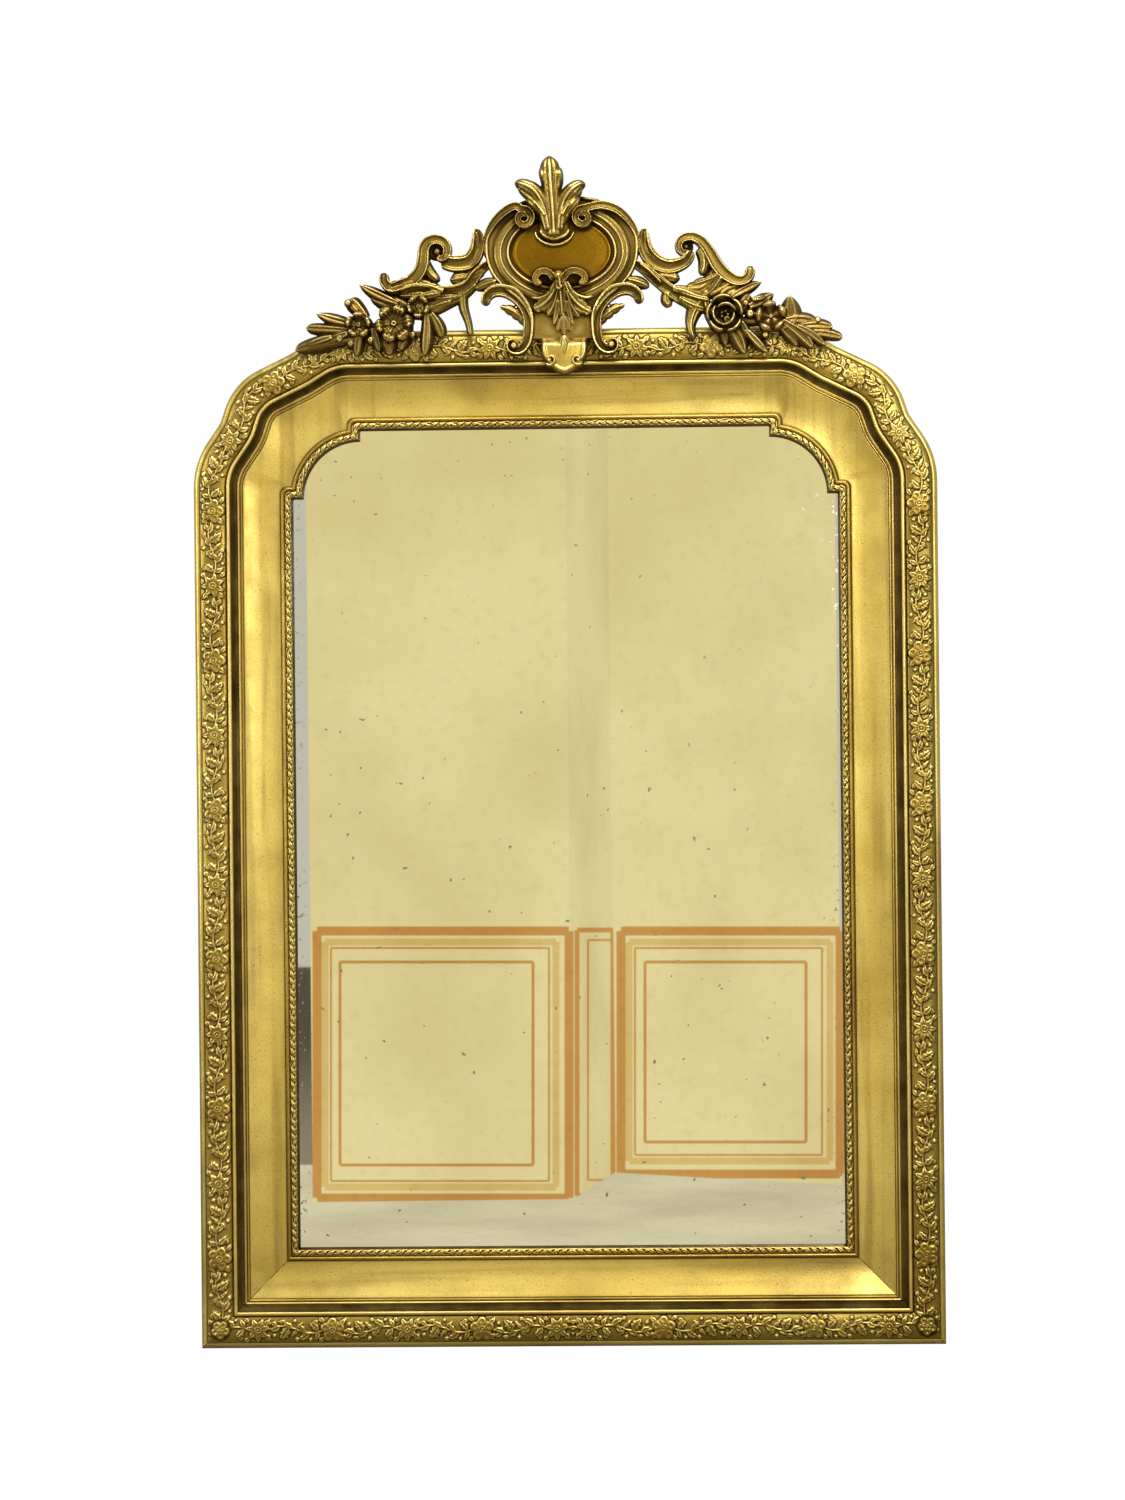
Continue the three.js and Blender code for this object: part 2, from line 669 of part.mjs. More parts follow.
function crestClasp() {
  const base = crestSize.claspStand;
  const leaves = [
    { from: [-3, 62], to: [1, 2], width: 10, rise: 33, full: 0.2 },
    { from: [-6, 54], to: [-36, 24], width: 11, bend: 12, rise: 28, full: 0.6, blunt: 0.5 },
    { from: [4, 54], to: [37, 18], width: 11, bend: -12, rise: 28, full: 0.6, blunt: 0.5 },
    { from: [-6, 42], to: [-19, 14], width: 8, bend: 4, rise: 26, blunt: 0.4 },
    { from: [6, 42], to: [22, 12], width: 8, bend: -4, rise: 26, blunt: 0.4 },
    { from: [-5, 30], to: [-11, 1], width: 6, bend: 2, rise: 24 },
    { from: [6, 30], to: [14, 1], width: 6, bend: -2, rise: 24 },
  ].map((spec) => leaf({ ...spec, base }));
  const ears = [-1, 1].map((side) => strap(
    [[-4 + side * 5, 58], [-4 + side * 14, 66], [-3 + side * 27, 65], [-2 + side * 31, 57]],
    { widths: [5, 4.5, 4.5, 5], rise: 29, base, steps: 5, heads: [0.1, 0.12] },
  ));
  const boss = bud({ at: [-4, 62], radius: 7.5, rise: 34, base, sides: 10 });
  const hanging = bud({ at: [2, 0], radius: 7.5, rise: 26, base, stretch: 1.35, sides: 10 });
  const seat = crestCartouche(clearance).add(toSolid(cartouchePlaque(clearance)));
  return fromSolid(joined([...leaves, ...ears, boss, hanging]).subtract(seat));
}

function crestFinial() {
  const base = crestSize.rimRise - 2 * crestGrid;
  const plume = (line, widths, rise) => strap(line, { widths, rise, base, steps: 6, heads: [0.08, 0.16] });
  const plumes = [
    plume([[-9, 112], [-10, 140], [-12, 170], [-14, 196], [-14.5, 213.5]], [9, 9.5, 10, 12, 15.5, 13], 22),
    plume([[-15, 118], [-22, 148], [-34, 170], [-58, 180.5]], [8, 10, 11, 10, 7], 19),
    plume([[-4, 118], [0, 148], [11, 167], [31.5, 178]], [8, 10, 11, 10, 7], 19),
    plume([[-22, 116], [-32, 140], [-46, 158]], [9, 11, 9], 14),
    plume([[2, 116], [14, 140], [25, 156]], [9, 11, 9], 14),
  ];
  const volutes = [-48, 27.5].map((x) => bud({ at: [x, 136], radius: 14, rise: 20, base, sides: 14 }));
  const collar = strap(
    [[-34, 120], [-26, 108], [-9, 102], [8, 108], [16.5, 121]],
    { widths: [4.5, 5.5, 4.5], rise: 15, base, steps: 8 },
  );
  const boss = bud({ at: [-10, 122], radius: 21, rise: 13, base, sides: 14 });
  return fromSolid(joined([...plumes, ...volutes, collar, boss]).subtract(crestCartouche(clearance)));
}

// ---- scroll arms --------------------------------------------------------------------------
function leftScroll(grow = 0) {
  const bands = [
    {
      line: [[-107, 125], [-106, 108], [-109, 94], [-117, 84], [-130, 81], [-142, 82], [-152, 86]],
      widths: [5.5, 8.5, 10, 10.5, 10, 9], rise: 19,
    },
    {
      line: [[-146, 90], [-145.5, 102], [-151, 109.5], [-160, 111.5], [-169, 108.5], [-174, 100], [-175, 90],
        [-177, 78], [-183, 67], [-193, 59], [-205, 54]],
      widths: [4.5, 5.5, 5.5, 6, 6.5, 7.5, 8.5, 9, 9, 8], rise: 18,
    },
    { line: [[-173, 90], [-170, 76], [-163, 66], [-155, 59.5]], widths: [5, 8, 7.5, 4.5], rise: 14 },
    { line: [[-196, 56], [-208, 54], [-218, 52], [-224.5, 59], [-225, 71]], widths: [8, 8, 6.5, 6.5, 6.5], rise: 16 },
    {
      line: [[-92, 82], [-106, 70], [-116, 57], [-127, 50], [-143, 47], [-163, 47], [-186, 49], [-204, 44]],
      widths: [5, 7, 7, 6.5, 6.5, 7.5, 9], rise: 17,
    },
    { line: [[-98, 74], [-120, 63], [-142, 60]], widths: [6, 10, 9], rise: 13, heads: [0.1, 0.15] },
    { line: [[-108, 56], [-124, 43], [-146, 33], [-166, 26], [-186, 20]], widths: [5, 7, 9, 11.5, 12], rise: 12 },
    { line: [[-126, 44], [-125, 26], [-119.5, 8], [-116, -10]], widths: [7, 6.5, 5, 4], rise: 12 },
    { line: [[-186, 60], [-204, 54], [-224, 48]], widths: [8, 11, 7], rise: 14 },
  ];
  const eye = bud({ at: [-158, 97], radius: 11 + grow, rise: 13 + grow, sides: 14 });
  return joined([...bands.map(({ line, ...rest }) => strap(line, { ...rest, grow })), eye]);
}

function rightScroll(grow = 0) {
  const bands = [
    {
      line: [[104, 122.5], [104, 105], [109, 90], [120, 79], [134, 74], [147, 76], [158, 82], [165, 93]],
      widths: [5.5, 8.5, 10, 10.5, 10, 9, 7.5, 5.5], rise: 19,
    },
    {
      line: [[149.5, 93], [147.5, 101], [151, 107.5], [158, 110.5], [166, 110.5], [175, 106], [182.5, 97.5],
        [189, 87], [195, 76], [202, 67], [211, 59.5], [222, 54.5], [232, 56.5], [237.5, 64], [236.5, 73]],
      widths: [4, 5, 5.5, 6.5, 7.5, 9, 9, 8, 7, 6.5, 6.5], rise: 18,
    },
    { line: [[173, 97], [179, 84], [179, 72], [175.5, 63]], widths: [6, 7.5, 7.5, 5], rise: 15 },
    {
      line: [[90, 80], [104, 71], [120, 57], [142, 40], [162, 30], [186, 24]],
      widths: [5, 7, 7.5, 8.5, 10, 10], rise: 17,
    },
    { line: [[98, 75], [122, 63], [149, 58]], widths: [6, 10, 8], rise: 13, heads: [0.1, 0.15] },
    { line: [[134, 44], [131, 32], [138, 25]], widths: [7, 7, 6], rise: 12, heads: [0.1, 0.2] },
    { line: [[198, 72], [188, 56], [172, 46], [154, 47]], widths: [8, 11, 10, 6], rise: 14 },
    { line: [[184, 44], [174, 30], [165, 14], [162, -2], [166, -18]], widths: [9, 11, 10, 6.5, 4], rise: 13 },
    { line: [[218, 56], [204, 46], [186, 36]], widths: [7, 10, 9], rise: 14 },
  ];
  const eye = bud({ at: [157, 99], radius: 8.5 + grow, rise: 13 + grow, sides: 14 });
  return joined([...bands.map(({ line, ...rest }) => strap(line, { ...rest, grow })), eye]);
}

// ---- flower sprays ------------------------------------------------------------------------
function leftSpray() {
  const base = crestSize.sprayStand;
  const leaves = [
    { from: [-208, 32], to: [-257, 56.5], width: 8.5, bend: 3, lift: 6 },
    { from: [-198, 18], to: [-243, 38.5], width: 10, bend: -4, blunt: 0.2 },
    { from: [-262, 5], to: [-312, 20.5], width: 8.5, lift: 5, bend: 2 },
    { from: [-268, -2], to: [-325, 2.5], width: 8, blunt: 0.5, full: 0.7 },
    { from: [-256, -10], to: [-339, -25], width: 10.5, bend: -4, blunt: 0.5, full: 0.6 },
    { from: [-194, 8], to: [-206, -27], width: 10, blunt: 0.4, full: 0.6 },
    { from: [-172, 20], to: [-175, -34], width: 9, bend: 4, rise: 17, full: 0.65, blunt: 0.3 },
    { from: [-166, 18], to: [-153, -11], width: 9, bend: 4, blunt: 0.5, full: 0.65 },
    { from: [-222, 0], to: [-219, -33], width: 11, rise: 16, blunt: 0.4, full: 0.6 },
    { from: [-240, 0], to: [-232, -28], width: 8, rise: 15, blunt: 0.3 },
    { from: [-256, 0], to: [-261, -34], width: 8, rise: 16, blunt: 0.3, full: 0.6 },
    { from: [-248, 14], to: [-270, 38], width: 10.5, blunt: 0.55, full: 0.7, rise: 17 },
    { from: [-178, 20], to: [-185, 43], width: 9, rise: 16, blunt: 0.3 },
    { from: [-190, 22], to: [-222, 40], width: 10, rise: 16, blunt: 0.4 },
  ].map((spec) => leaf({ rise: 14, ...spec, base }));
  const stem = strap([[-188, 22], [-225, 4], [-262, 2], [-300, -8]], { widths: [6, 6, 5], rise: 9, base, steps: 6 });
  const flowers = [
    { at: [-258, 5], radius: 18, petals: 5, rise: 22 },
    { at: [-213, 6], radius: 26, petals: 6, rise: 25 },
    { at: [-182, 27], radius: 17, petals: 5, rise: 21 },
  ].map((spec) => blossom({ ...spec, base }));
  return fromSolid(joined([stem, ...leaves, ...flowers]).subtract(leftScroll(clearance)));
}

function rightSpray() {
  const base = crestSize.sprayStand;
  const leaves = [
    { from: [214, 34], to: [252, 53], width: 8, bend: 3, lift: 5 },
    { from: [236, 22], to: [267, 38.5], width: 9.5, lift: 4, bend: -2 },
    { from: [289, -2], to: [287, 36.5], width: 14.5, blunt: 0.05, full: 0.35 },
    { from: [282, 4], to: [320, 2], width: 10, blunt: 0.5, full: 0.6, bend: 4 },
    { from: [300, -4], to: [341, -5], width: 9, blunt: 0.4, full: 0.6, bend: 4 },
    { from: [306, -12], to: [354, -18], width: 8, blunt: 0.5, full: 0.6, bend: 4 },
    { from: [206, 8], to: [230, -38], width: 12, rise: 17, bend: 4, full: 0.55 },
    { from: [226, 2], to: [236, -19], width: 7, rise: 18, blunt: 0.3 },
    { from: [232, -8], to: [258, -36], width: 8, rise: 14 },
    { from: [278, 2], to: [316, -31], width: 11, rise: 17, bend: 6, full: 0.55, blunt: 0.3 },
    { from: [296, -4], to: [331, -28], width: 8, rise: 15, bend: 5, blunt: 0.2 },
    { from: [198, 32], to: [224, 47], width: 11, rise: 18, blunt: 0.5, bend: 4 },
    { from: [222, 14], to: [236, 38], width: 10, rise: 16, blunt: 0.4 },
  ].map((spec) => leaf({ rise: 14, ...spec, base }));
  const stem = strap([[192, 14], [230, 4], [265, 4], [310, -8]], { widths: [6, 6, 5], rise: 9, base, steps: 6 });
  const rose = blossom({ at: [204.5, 12], radius: 26, petals: 7, rise: 29, base, notch: 0.14 });
  const flower = blossom({ at: [263, 9], radius: 21.5, petals: 5, rise: 23, base });
  const buds = [
    { at: [237, 13], radius: 7.5, rise: 19 },
    { at: [280, -4], radius: 8, rise: 20 },
  ].map((spec) => bud({ ...spec, base, sides: 10 }));
  return fromSolid(joined([stem, ...leaves, rose, flower, ...buds]).subtract(rightScroll(clearance)));
}

// ---- brackets -----------------------------------------------------------------------------
// A block let into the back of the top rail and rising behind the carving it carries.
function bracket(centreX, width, rise, drop) {
  const front = crestBack - clearance;
  const side = [
    [0, -drop], [bracketTongue, -drop], [bracketTongue, clearance], [front, clearance],
    [front, rise], [front - bracketTongue, rise], [0, rise * 0.4],
  ];
  const half = width / 2;
  return loft([-half, half].map((x) => side.map(([z, y]) => new THREE.Vector3(centreX + x, frameHeight + y, z))));
}

function bracketCutter(centreX, width, rise, drop) {
  const half = width / 2 + clearance;
  return box(
    centreX - half, centreX + half,
    frameHeight - drop - clearance, frameHeight + 1,
    -1, bracketTongue + clearance,
  );
}

// ---- hanging hardware ---------------------------------------------------------------------
const sleeveRadius = ringWire / 2 + clearance + sleeveWall;
const pivotDepth = sleeveRadius + clearance;

function hangingPlate() {
  const bar = new THREE.LatheGeometry([
    new THREE.Vector2(ringWire / 2 + clearance, -sleeveLength / 2),
    new THREE.Vector2(sleeveRadius, -sleeveLength / 2),
    new THREE.Vector2(sleeveRadius, sleeveLength / 2),
    new THREE.Vector2(ringWire / 2 + clearance, sleeveLength / 2),
    new THREE.Vector2(ringWire / 2 + clearance, -sleeveLength / 2),
  ], 16).rotateZ(Math.PI / 2);
  const front = pivotDepth - clearance;
  const leafPlate = box(
    -plateWidth / 2, plateWidth / 2,
    sleeveRadius - 1, sleeveRadius + plateLength,
    front - plateThickness, front,
  );
  const root = box(
    -sleeveLength / 2, sleeveLength / 2,
    ringWire / 2 + clearance + 0.4, sleeveRadius + 0.5,
    front - sleeveRadius, front,
  );
  return fromSolid(joined([bar, leafPlate, root]));
}

function hangingRing() {
  const half = ringWidth / 2;
  const wireSides = 8;
  const bow = 10;
  const corner = 5;
  const shoulder = 8;
  const at = (x, y) => new THREE.Vector3(x, y, 0);
  const points = [at(half - corner, 0), at(half - corner / 3, -corner / 3), at(half, -corner)];
  for (let k = 0; k <= bow; k += 1) {
    const angle = (Math.PI * k) / bow;
    points.push(at(half * Math.cos(angle), -shoulder - (ringDrop - shoulder) * Math.sin(angle)));
  }
  points.push(at(-half, -corner), at(-half + corner / 3, -corner / 3), at(-half + corner, 0));
  const rings = points.map((point, i) => {
    const before = points[(i + points.length - 1) % points.length];
    const after = points[(i + 1) % points.length];
    const tangent = after.clone().sub(before).normalize();
    const across = new THREE.Vector3(-tangent.y, tangent.x, 0);
    return Array.from({ length: wireSides }, (_, k) => {
      const angle = (2 * Math.PI * k) / wireSides;
      const side = (ringWire / 2) * Math.cos(angle);
      return new THREE.Vector3(point.x + across.x * side, point.y + across.y * side, (ringWire / 2) * Math.sin(angle));
    });
  });
  return loft(rings, { loop: true });
}

// ---- assembly -----------------------------------------------------------------------------
const mirrorGroup = new THREE.Group();

function addPiece(name, geometry, material, position = [0, 0, 0]) {
  const shaded = geometry.toNonIndexed();
  shaded.computeVertexNormals();
  const mesh = new THREE.Mesh(shaded, material);
  mesh.name = name;
  mesh.position.set(...position);
  mirrorGroup.add(mesh);
}

function addPair(name, geometry, material) {
  addPiece(`left_${name}`, mirrored(geometry), material);
  addPiece(`right_${name}`, geometry, material);
}

const keys = keyCutters();
const brackets = {
  centre: [0, centreBracketWidth, centreBracketTop, centreBracketDrop],
  left: [-sideBracketShare * halfWidth, sideBracketWidth, sideBracketTop, sideBracketDrop],
  right: [sideBracketShare * halfWidth, sideBracketWidth, sideBracketTop, sideBracketDrop],
};
const bracketCuts = Object.values(brackets).map((place) => bracketCutter(...place));
const rail = memberSection();
addPiece('bottom_rail', without(bottomMember(rail), keys), agedGilt);
addPair('stile', without(uprightMember(rail), keys), agedGilt);
addPair('shoulder', without(shoulderBlock(), [...keys, ...bracketCuts]), agedGilt);
addPiece('top_rail', without(topMember(rail), [...keys, ...bracketCuts]), agedGilt);
for (const [name, place] of Object.entries(keyPlaces)) addPair(name, keySolid(place, 0), hardwood);

const band = bandSection();
addPiece('floral_band_bottom', bottomMember(band), agedGilt);
addPair('floral_band', uprightMember(band), agedGilt);
addPair('shoulder_floral_band', shoulderBand(), agedGilt);
addPiece('floral_band_top', topMember(band), agedGilt);

const sight = sightStraight(sightSection());
addPiece('sight_moulding_bottom', bottomMember(sight), gilt);
addPair('sight_moulding', uprightMember(sight), gilt);
addPair('sight_corner', sightCorner(), gilt);
addPiece('sight_moulding_top', topMember(sight), gilt);

const glassHalf = rebateHalf - glassClearance;
const glassLow = rebateInset + glassClearance;
const glassTop = rebateTop - glassClearance;
addPiece('mirror_plate', box(-glassHalf, glassHalf, glassLow, glassTop, glassBack, glassBack + glassThickness), silvered);
const stripZ = [stripFront - stripThickness, stripFront];
const stripIn = glassHalf - stripWidth;
addPair('glazing_strip', box(stripIn, glassHalf, glassLow, glassTop, ...stripZ), pine);
const stripEnd = stripIn - clearance;
addPiece('bottom_glazing_strip', box(-stripEnd, stripEnd, glassLow, glassLow + stripWidth, ...stripZ), pine);
addPiece('top_glazing_strip', box(-stripEnd, stripEnd, glassTop - stripWidth, glassTop, ...stripZ), pine);
for (let i = 0; i < boardCount; i += 1) addPiece(`backboard_${i + 1}`, backboard(i), pine);

for (const [name, place] of Object.entries(brackets)) addPiece(`${name}_crest_bracket`, bracket(...place), pine);

const crestPieces = {
  cartouche: [fromSolid(crestCartouche()), crestGilt],
  cartouche_plaque: [cartouchePlaque(), plaqueGilt],
  crest_lobe: [crestLobe(), gilt],
  crest_clasp: [crestClasp(), crestGilt],
  crest_finial: [crestFinial(), crestGilt],
  left_scroll: [fromSolid(leftScroll().subtract(crestCartouche(clearance))), crestGilt],
  right_scroll: [fromSolid(rightScroll().subtract(crestCartouche(clearance))), crestGilt],
  left_spray: [leftSpray(), crestGilt],
  right_spray: [rightSpray(), crestGilt],
};
for (const [name, [geometry, material]] of Object.entries(crestPieces)) {
  addPiece(name, geometry, material, [0, frameHeight, crestBack]);
}

for (const side of [-1, 1]) {
  const name = side < 0 ? 'left' : 'right';
  const place = [side * (halfWidth - hangerInset), hangerHeight, -pivotDepth];
  addPiece(`${name}_hanging_plate`, hangingPlate(), iron, place);
  addPiece(`${name}_hanging_ring`, hangingRing(), iron, place);
}

// The wall face is the origin: the middle of the bottom rail's back.
const mirror = new THREE.Group();
mirrorGroup.rotation.x = Math.PI / 2;
mirrorGroup.position.z = -rebateInset / 2;
mirror.add(mirrorGroup);

export default mirror;
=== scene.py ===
import math

import bpy
import numpy as np
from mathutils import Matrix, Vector

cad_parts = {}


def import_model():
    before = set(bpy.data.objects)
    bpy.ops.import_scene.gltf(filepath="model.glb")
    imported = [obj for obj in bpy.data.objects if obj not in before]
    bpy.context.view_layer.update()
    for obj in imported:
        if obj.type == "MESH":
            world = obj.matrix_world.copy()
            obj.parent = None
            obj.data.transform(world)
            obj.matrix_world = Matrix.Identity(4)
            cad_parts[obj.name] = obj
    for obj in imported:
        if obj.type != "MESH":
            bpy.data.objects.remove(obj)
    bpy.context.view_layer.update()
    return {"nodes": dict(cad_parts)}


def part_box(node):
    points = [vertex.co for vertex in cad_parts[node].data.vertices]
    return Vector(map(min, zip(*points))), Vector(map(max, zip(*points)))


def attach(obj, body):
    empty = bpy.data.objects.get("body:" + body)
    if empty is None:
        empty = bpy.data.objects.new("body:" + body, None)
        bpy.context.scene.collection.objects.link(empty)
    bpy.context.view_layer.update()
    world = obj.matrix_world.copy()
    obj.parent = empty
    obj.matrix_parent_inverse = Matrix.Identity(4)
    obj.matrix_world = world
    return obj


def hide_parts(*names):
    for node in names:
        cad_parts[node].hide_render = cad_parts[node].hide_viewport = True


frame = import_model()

scene = bpy.context.scene

# ---- sizes in millimetres, seen from the front: x right, y up from the frame's foot, h forward ----
HALF = 472.5
HEIGHT = 1292.0
MEMBER = 125.0
LIFT = 58.0
JOINT_Y = 1060.0
JOINT_X = 240.5
SIGHT = 17.0
COVE_START = 63.0
TORUS_START = 7.5
TORUS_WIDTH = 33.5
TORUS_BASE = 50.0
TORUS_RISE = 4.0
BAND_PROUD = 0.1
BAND_UNDER = 49.0
RIBBON_UNDER = 33.0
GLASS_FRONT = 25.7
CREST_BACK = 60.0
SIGHT_HALF = HALF - MEMBER
SIGHT_TOP = HEIGHT - MEMBER
SHOULDER = [(0, 165, 105, 3), (35, 114, 25, 2), (51.8, 63.1, 84, 5), (124, 28, 60, 2), (169.5, 0, 105, 3)]
SCALLOP = 73.0
SCALLOP_STEP = 13.5


def world(points):
    """Face millimetres (x, y, h) as metres in the row's frame."""
    p = np.asarray(points, float)
    return np.stack([p[..., 0], -p[..., 2], p[..., 1] - LIFT], axis=-1) / 1000


def smooth(a, b, x):
    t = np.clip((np.asarray(x, float) - a) / (b - a), 0, 1)
    return t * t * (3 - 2 * t)


def spline(points, spacing=1.6):
    """A smooth line through points (centripetal), cut to even steps."""
    p = np.array(points, float)
    if len(p) == 2:
        p = np.array([p[0], (p[0] + p[1]) / 2, p[1]])
    p = np.vstack([2 * p[0] - p[1], p, 2 * p[-1] - p[-2]])
    out = []
    for a, b, c, d in zip(p, p[1:], p[2:], p[3:]):
        t0 = 0.0
        t1 = t0 + max(np.linalg.norm(b - a), 1e-6) ** 0.5
        t2 = t1 + max(np.linalg.norm(c - b), 1e-6) ** 0.5
        t3 = t2 + max(np.linalg.norm(d - c), 1e-6) ** 0.5
        for t in np.linspace(t1, t2, 12, endpoint=False):
            ab = (t1 - t) / (t1 - t0) * a + (t - t0) / (t1 - t0) * b
            bc = (t2 - t) / (t2 - t1) * b + (t - t1) / (t2 - t1) * c
            cd = (t3 - t) / (t3 - t2) * c + (t - t2) / (t3 - t2) * d
            abc = (t2 - t) / (t2 - t0) * ab + (t - t0) / (t2 - t0) * bc
            bcd = (t3 - t) / (t3 - t1) * bc + (t - t1) / (t3 - t1) * cd
            out.append((t2 - t) / (t2 - t1) * abc + (t - t1) / (t2 - t1) * bcd)
    out.append(p[-2])
    out = np.array(out)
    run = np.concatenate([[0], np.cumsum(np.linalg.norm(np.diff(out, axis=0), axis=1))])
    even = np.linspace(0, run[-1], max(4, int(run[-1] / spacing)))
    return np.stack([np.interp(even, run, out[:, n]) for n in range(out.shape[1])], 1)


# ---- meshes ----
def make(name, points, faces, material, caps=(), attributes=None, sharp=0):
    """A mesh from face-millimetre points, an array of quads and a few larger faces."""
    mesh = bpy.data.meshes.new(name)
    coords = world(points).reshape(-1, 3)
    faces = np.asarray(faces, int).reshape(-1, 4)
    loops = np.concatenate([faces.ravel(), *[np.asarray(c, int) for c in caps]])
    totals = np.concatenate([np.full(len(faces), 4), [len(c) for c in caps]]).astype(int)
    mesh.vertices.add(len(coords))
    mesh.vertices.foreach_set("co", coords.ravel())
    mesh.loops.add(len(loops))
    mesh.loops.foreach_set("vertex_index", loops)
    mesh.polygons.add(len(totals))
    mesh.polygons.foreach_set("loop_start", np.concatenate([[0], np.cumsum(totals)[:-1]]).astype(int))
    mesh.polygons.foreach_set("loop_total", totals)
    mesh.update(calc_edges=True)
    mesh.validate()
    mesh.polygons.foreach_set("use_smooth", totals == 4)
    if sharp:
        mesh.set_sharp_from_angle(angle=math.radians(sharp))
    for key, values in (attributes or {}).items():
        layer = mesh.attributes.new(key, "FLOAT", "POINT")
        layer.data.foreach_set("value", np.asarray(values, float).ravel())
    mesh.materials.append(material)
    obj = bpy.data.objects.new(name, mesh)
    scene.collection.objects.link(obj)
    return obj


def quads(rows, columns):
    """Faces between rings: rows of columns points each, the columns joined end to end."""
    i, j = np.meshgrid(np.arange(rows - 1), np.arange(columns), indexing="ij")
    k = (j + 1) % columns
    corners = [i * columns + j, i * columns + k, (i + 1) * columns + k, (i + 1) * columns + j]
    return np.stack(corners, -1).reshape(-1, 4)


def outward(points, faces, caps):
    """The faces turned so that their normals point out of the solid."""
    flat = points.reshape(-1, 3)
    centre = flat.mean(0)
    volume = 0.0
    for quad in (faces[:, [0, 1, 2]], faces[:, [0, 2, 3]]):
        a, b, c = (flat[quad[:, n]] - centre for n in range(3))
        volume += np.einsum("ij,ij->i", a, np.cross(b, c)).sum()
    for cap in caps:
        for n in range(1, len(cap) - 1):
            a, b, c = (flat[cap[m]] - centre for m in (0, n, n + 1))
            volume += np.dot(a, np.cross(b, c))
    # the row's frame turns (x, y, h) to (x, -h, y), which keeps the handedness
    if volume > 0:
        return faces, caps
    return faces[:, ::-1], [list(cap)[::-1] for cap in caps]


def closed(rings):
    """The faces and the two end caps of a solid through equal rings of points."""
    rows, columns = rings.shape[:2]
    caps = [list(range(columns))[::-1], list(range((rows - 1) * columns, rows * columns))]
    return outward(rings, quads(rows, columns), caps)


def sweep(name, rings, material, attributes=None, sharp=0):
    """A closed solid through equal rings of points, with a flat cap at each end."""
    faces, caps = closed(rings)
    return make(name, rings, faces, material, caps, attributes, sharp)


# ---- contours of the right shoulder, from the joint with the stile to the joint with the top rail ----
FINE = 6


def unit(v):
    return v / np.linalg.norm(v)


def arc(centre, start, angle, steps):
    out = []
    for k in range(steps + 1):
        a = angle * k / steps
        c, s = math.cos(a), math.sin(a)
        out.append(centre + np.array([c * start[0] - s * start[1], s * start[0] + c * start[1]]))
    return out


def fill(pieces):
    """Joins runs of points; the straight lines between them are cut to FINE steps."""
    out = [pieces[0][0]]
    for piece in pieces:
        start = out[-1]
        if np.linalg.norm(piece[0] - start) > 1e-9:
            out += [start + (piece[0] - start) * k / FINE for k in range(1, FINE)] + [piece[0]]
        elif len(out) > 1:
            out += [piece[0]] * FINE
        out += piece[1:]
    return np.array(out)


def outer_contour(inward):
    corners = [np.array([HALF - i, HEIGHT - d]) for i, d, _, _ in SHOULDER]
    path = [np.array([HALF, JOINT_Y])] + corners + [np.array([JOINT_X, HEIGHT])]
    way = [unit(b - a) for a, b in zip(path, path[1:])]
    pieces = [[np.array([HALF - inward, JOINT_Y])]]
    for n, (corner, (_, _, radius, steps)) in enumerate(zip(corners, SHOULDER)):
        a, b = way[n], way[n + 1]
        turn = math.copysign(1, a[0] * b[1] - a[1] * b[0])
        bend = math.acos(np.dot(a, b))
        start = corner - a * radius * math.tan(bend / 2)
        side = np.array([-a[1], a[0]]) * turn
        centre = start + side * radius
        pieces.append(arc(centre, -side * (radius - turn * inward), turn * bend, steps * FINE))
    pieces.append([np.array([JOINT_X, HEIGHT - inward])])
    return fill(pieces)


def sight_contour(out):
    centre = np.array([SIGHT_HALF - SCALLOP_STEP - SCALLOP, SIGHT_TOP - SCALLOP_STEP - SCALLOP])
    radius = SCALLOP + out
    ear = 1.5 + out / 2
    first = math.asin(out / radius)

    def corner(x, y):
        return arc(np.array([x - ear, y - ear]), np.array([ear, 0]), math.pi / 2, 2 * FINE)

    start = np.array([math.cos(first), math.sin(first)]) * radius
    pieces = [
        [np.array([SIGHT_HALF + out, JOINT_Y])],
        corner(SIGHT_HALF + out, centre[1] + out),
        arc(centre, start, math.pi / 2 - 2 * first, 13 * FINE),
        corner(centre[0] + out, SIGHT_TOP + out),
        [np.array([JOINT_X, SIGHT_TOP + out])],
    ]
    return fill(pieces)


# ---- profile of the members: (inward, height, painted shading with soiling), from the wall at the outside to the seat ----
def half_round(start, width, base, rise, steps=7, low=0.5):
    """A bead across the profile, painted darker along both its feet as shade with soiling, and a little
    lighter along its top.
    """
    out = []
    for k in range(steps + 1):
        x = k / steps
        out.append((start + width * x, base + rise * math.sin(math.pi * x), low * abs(2 * x - 1) ** 3 - 0.15))
    return out


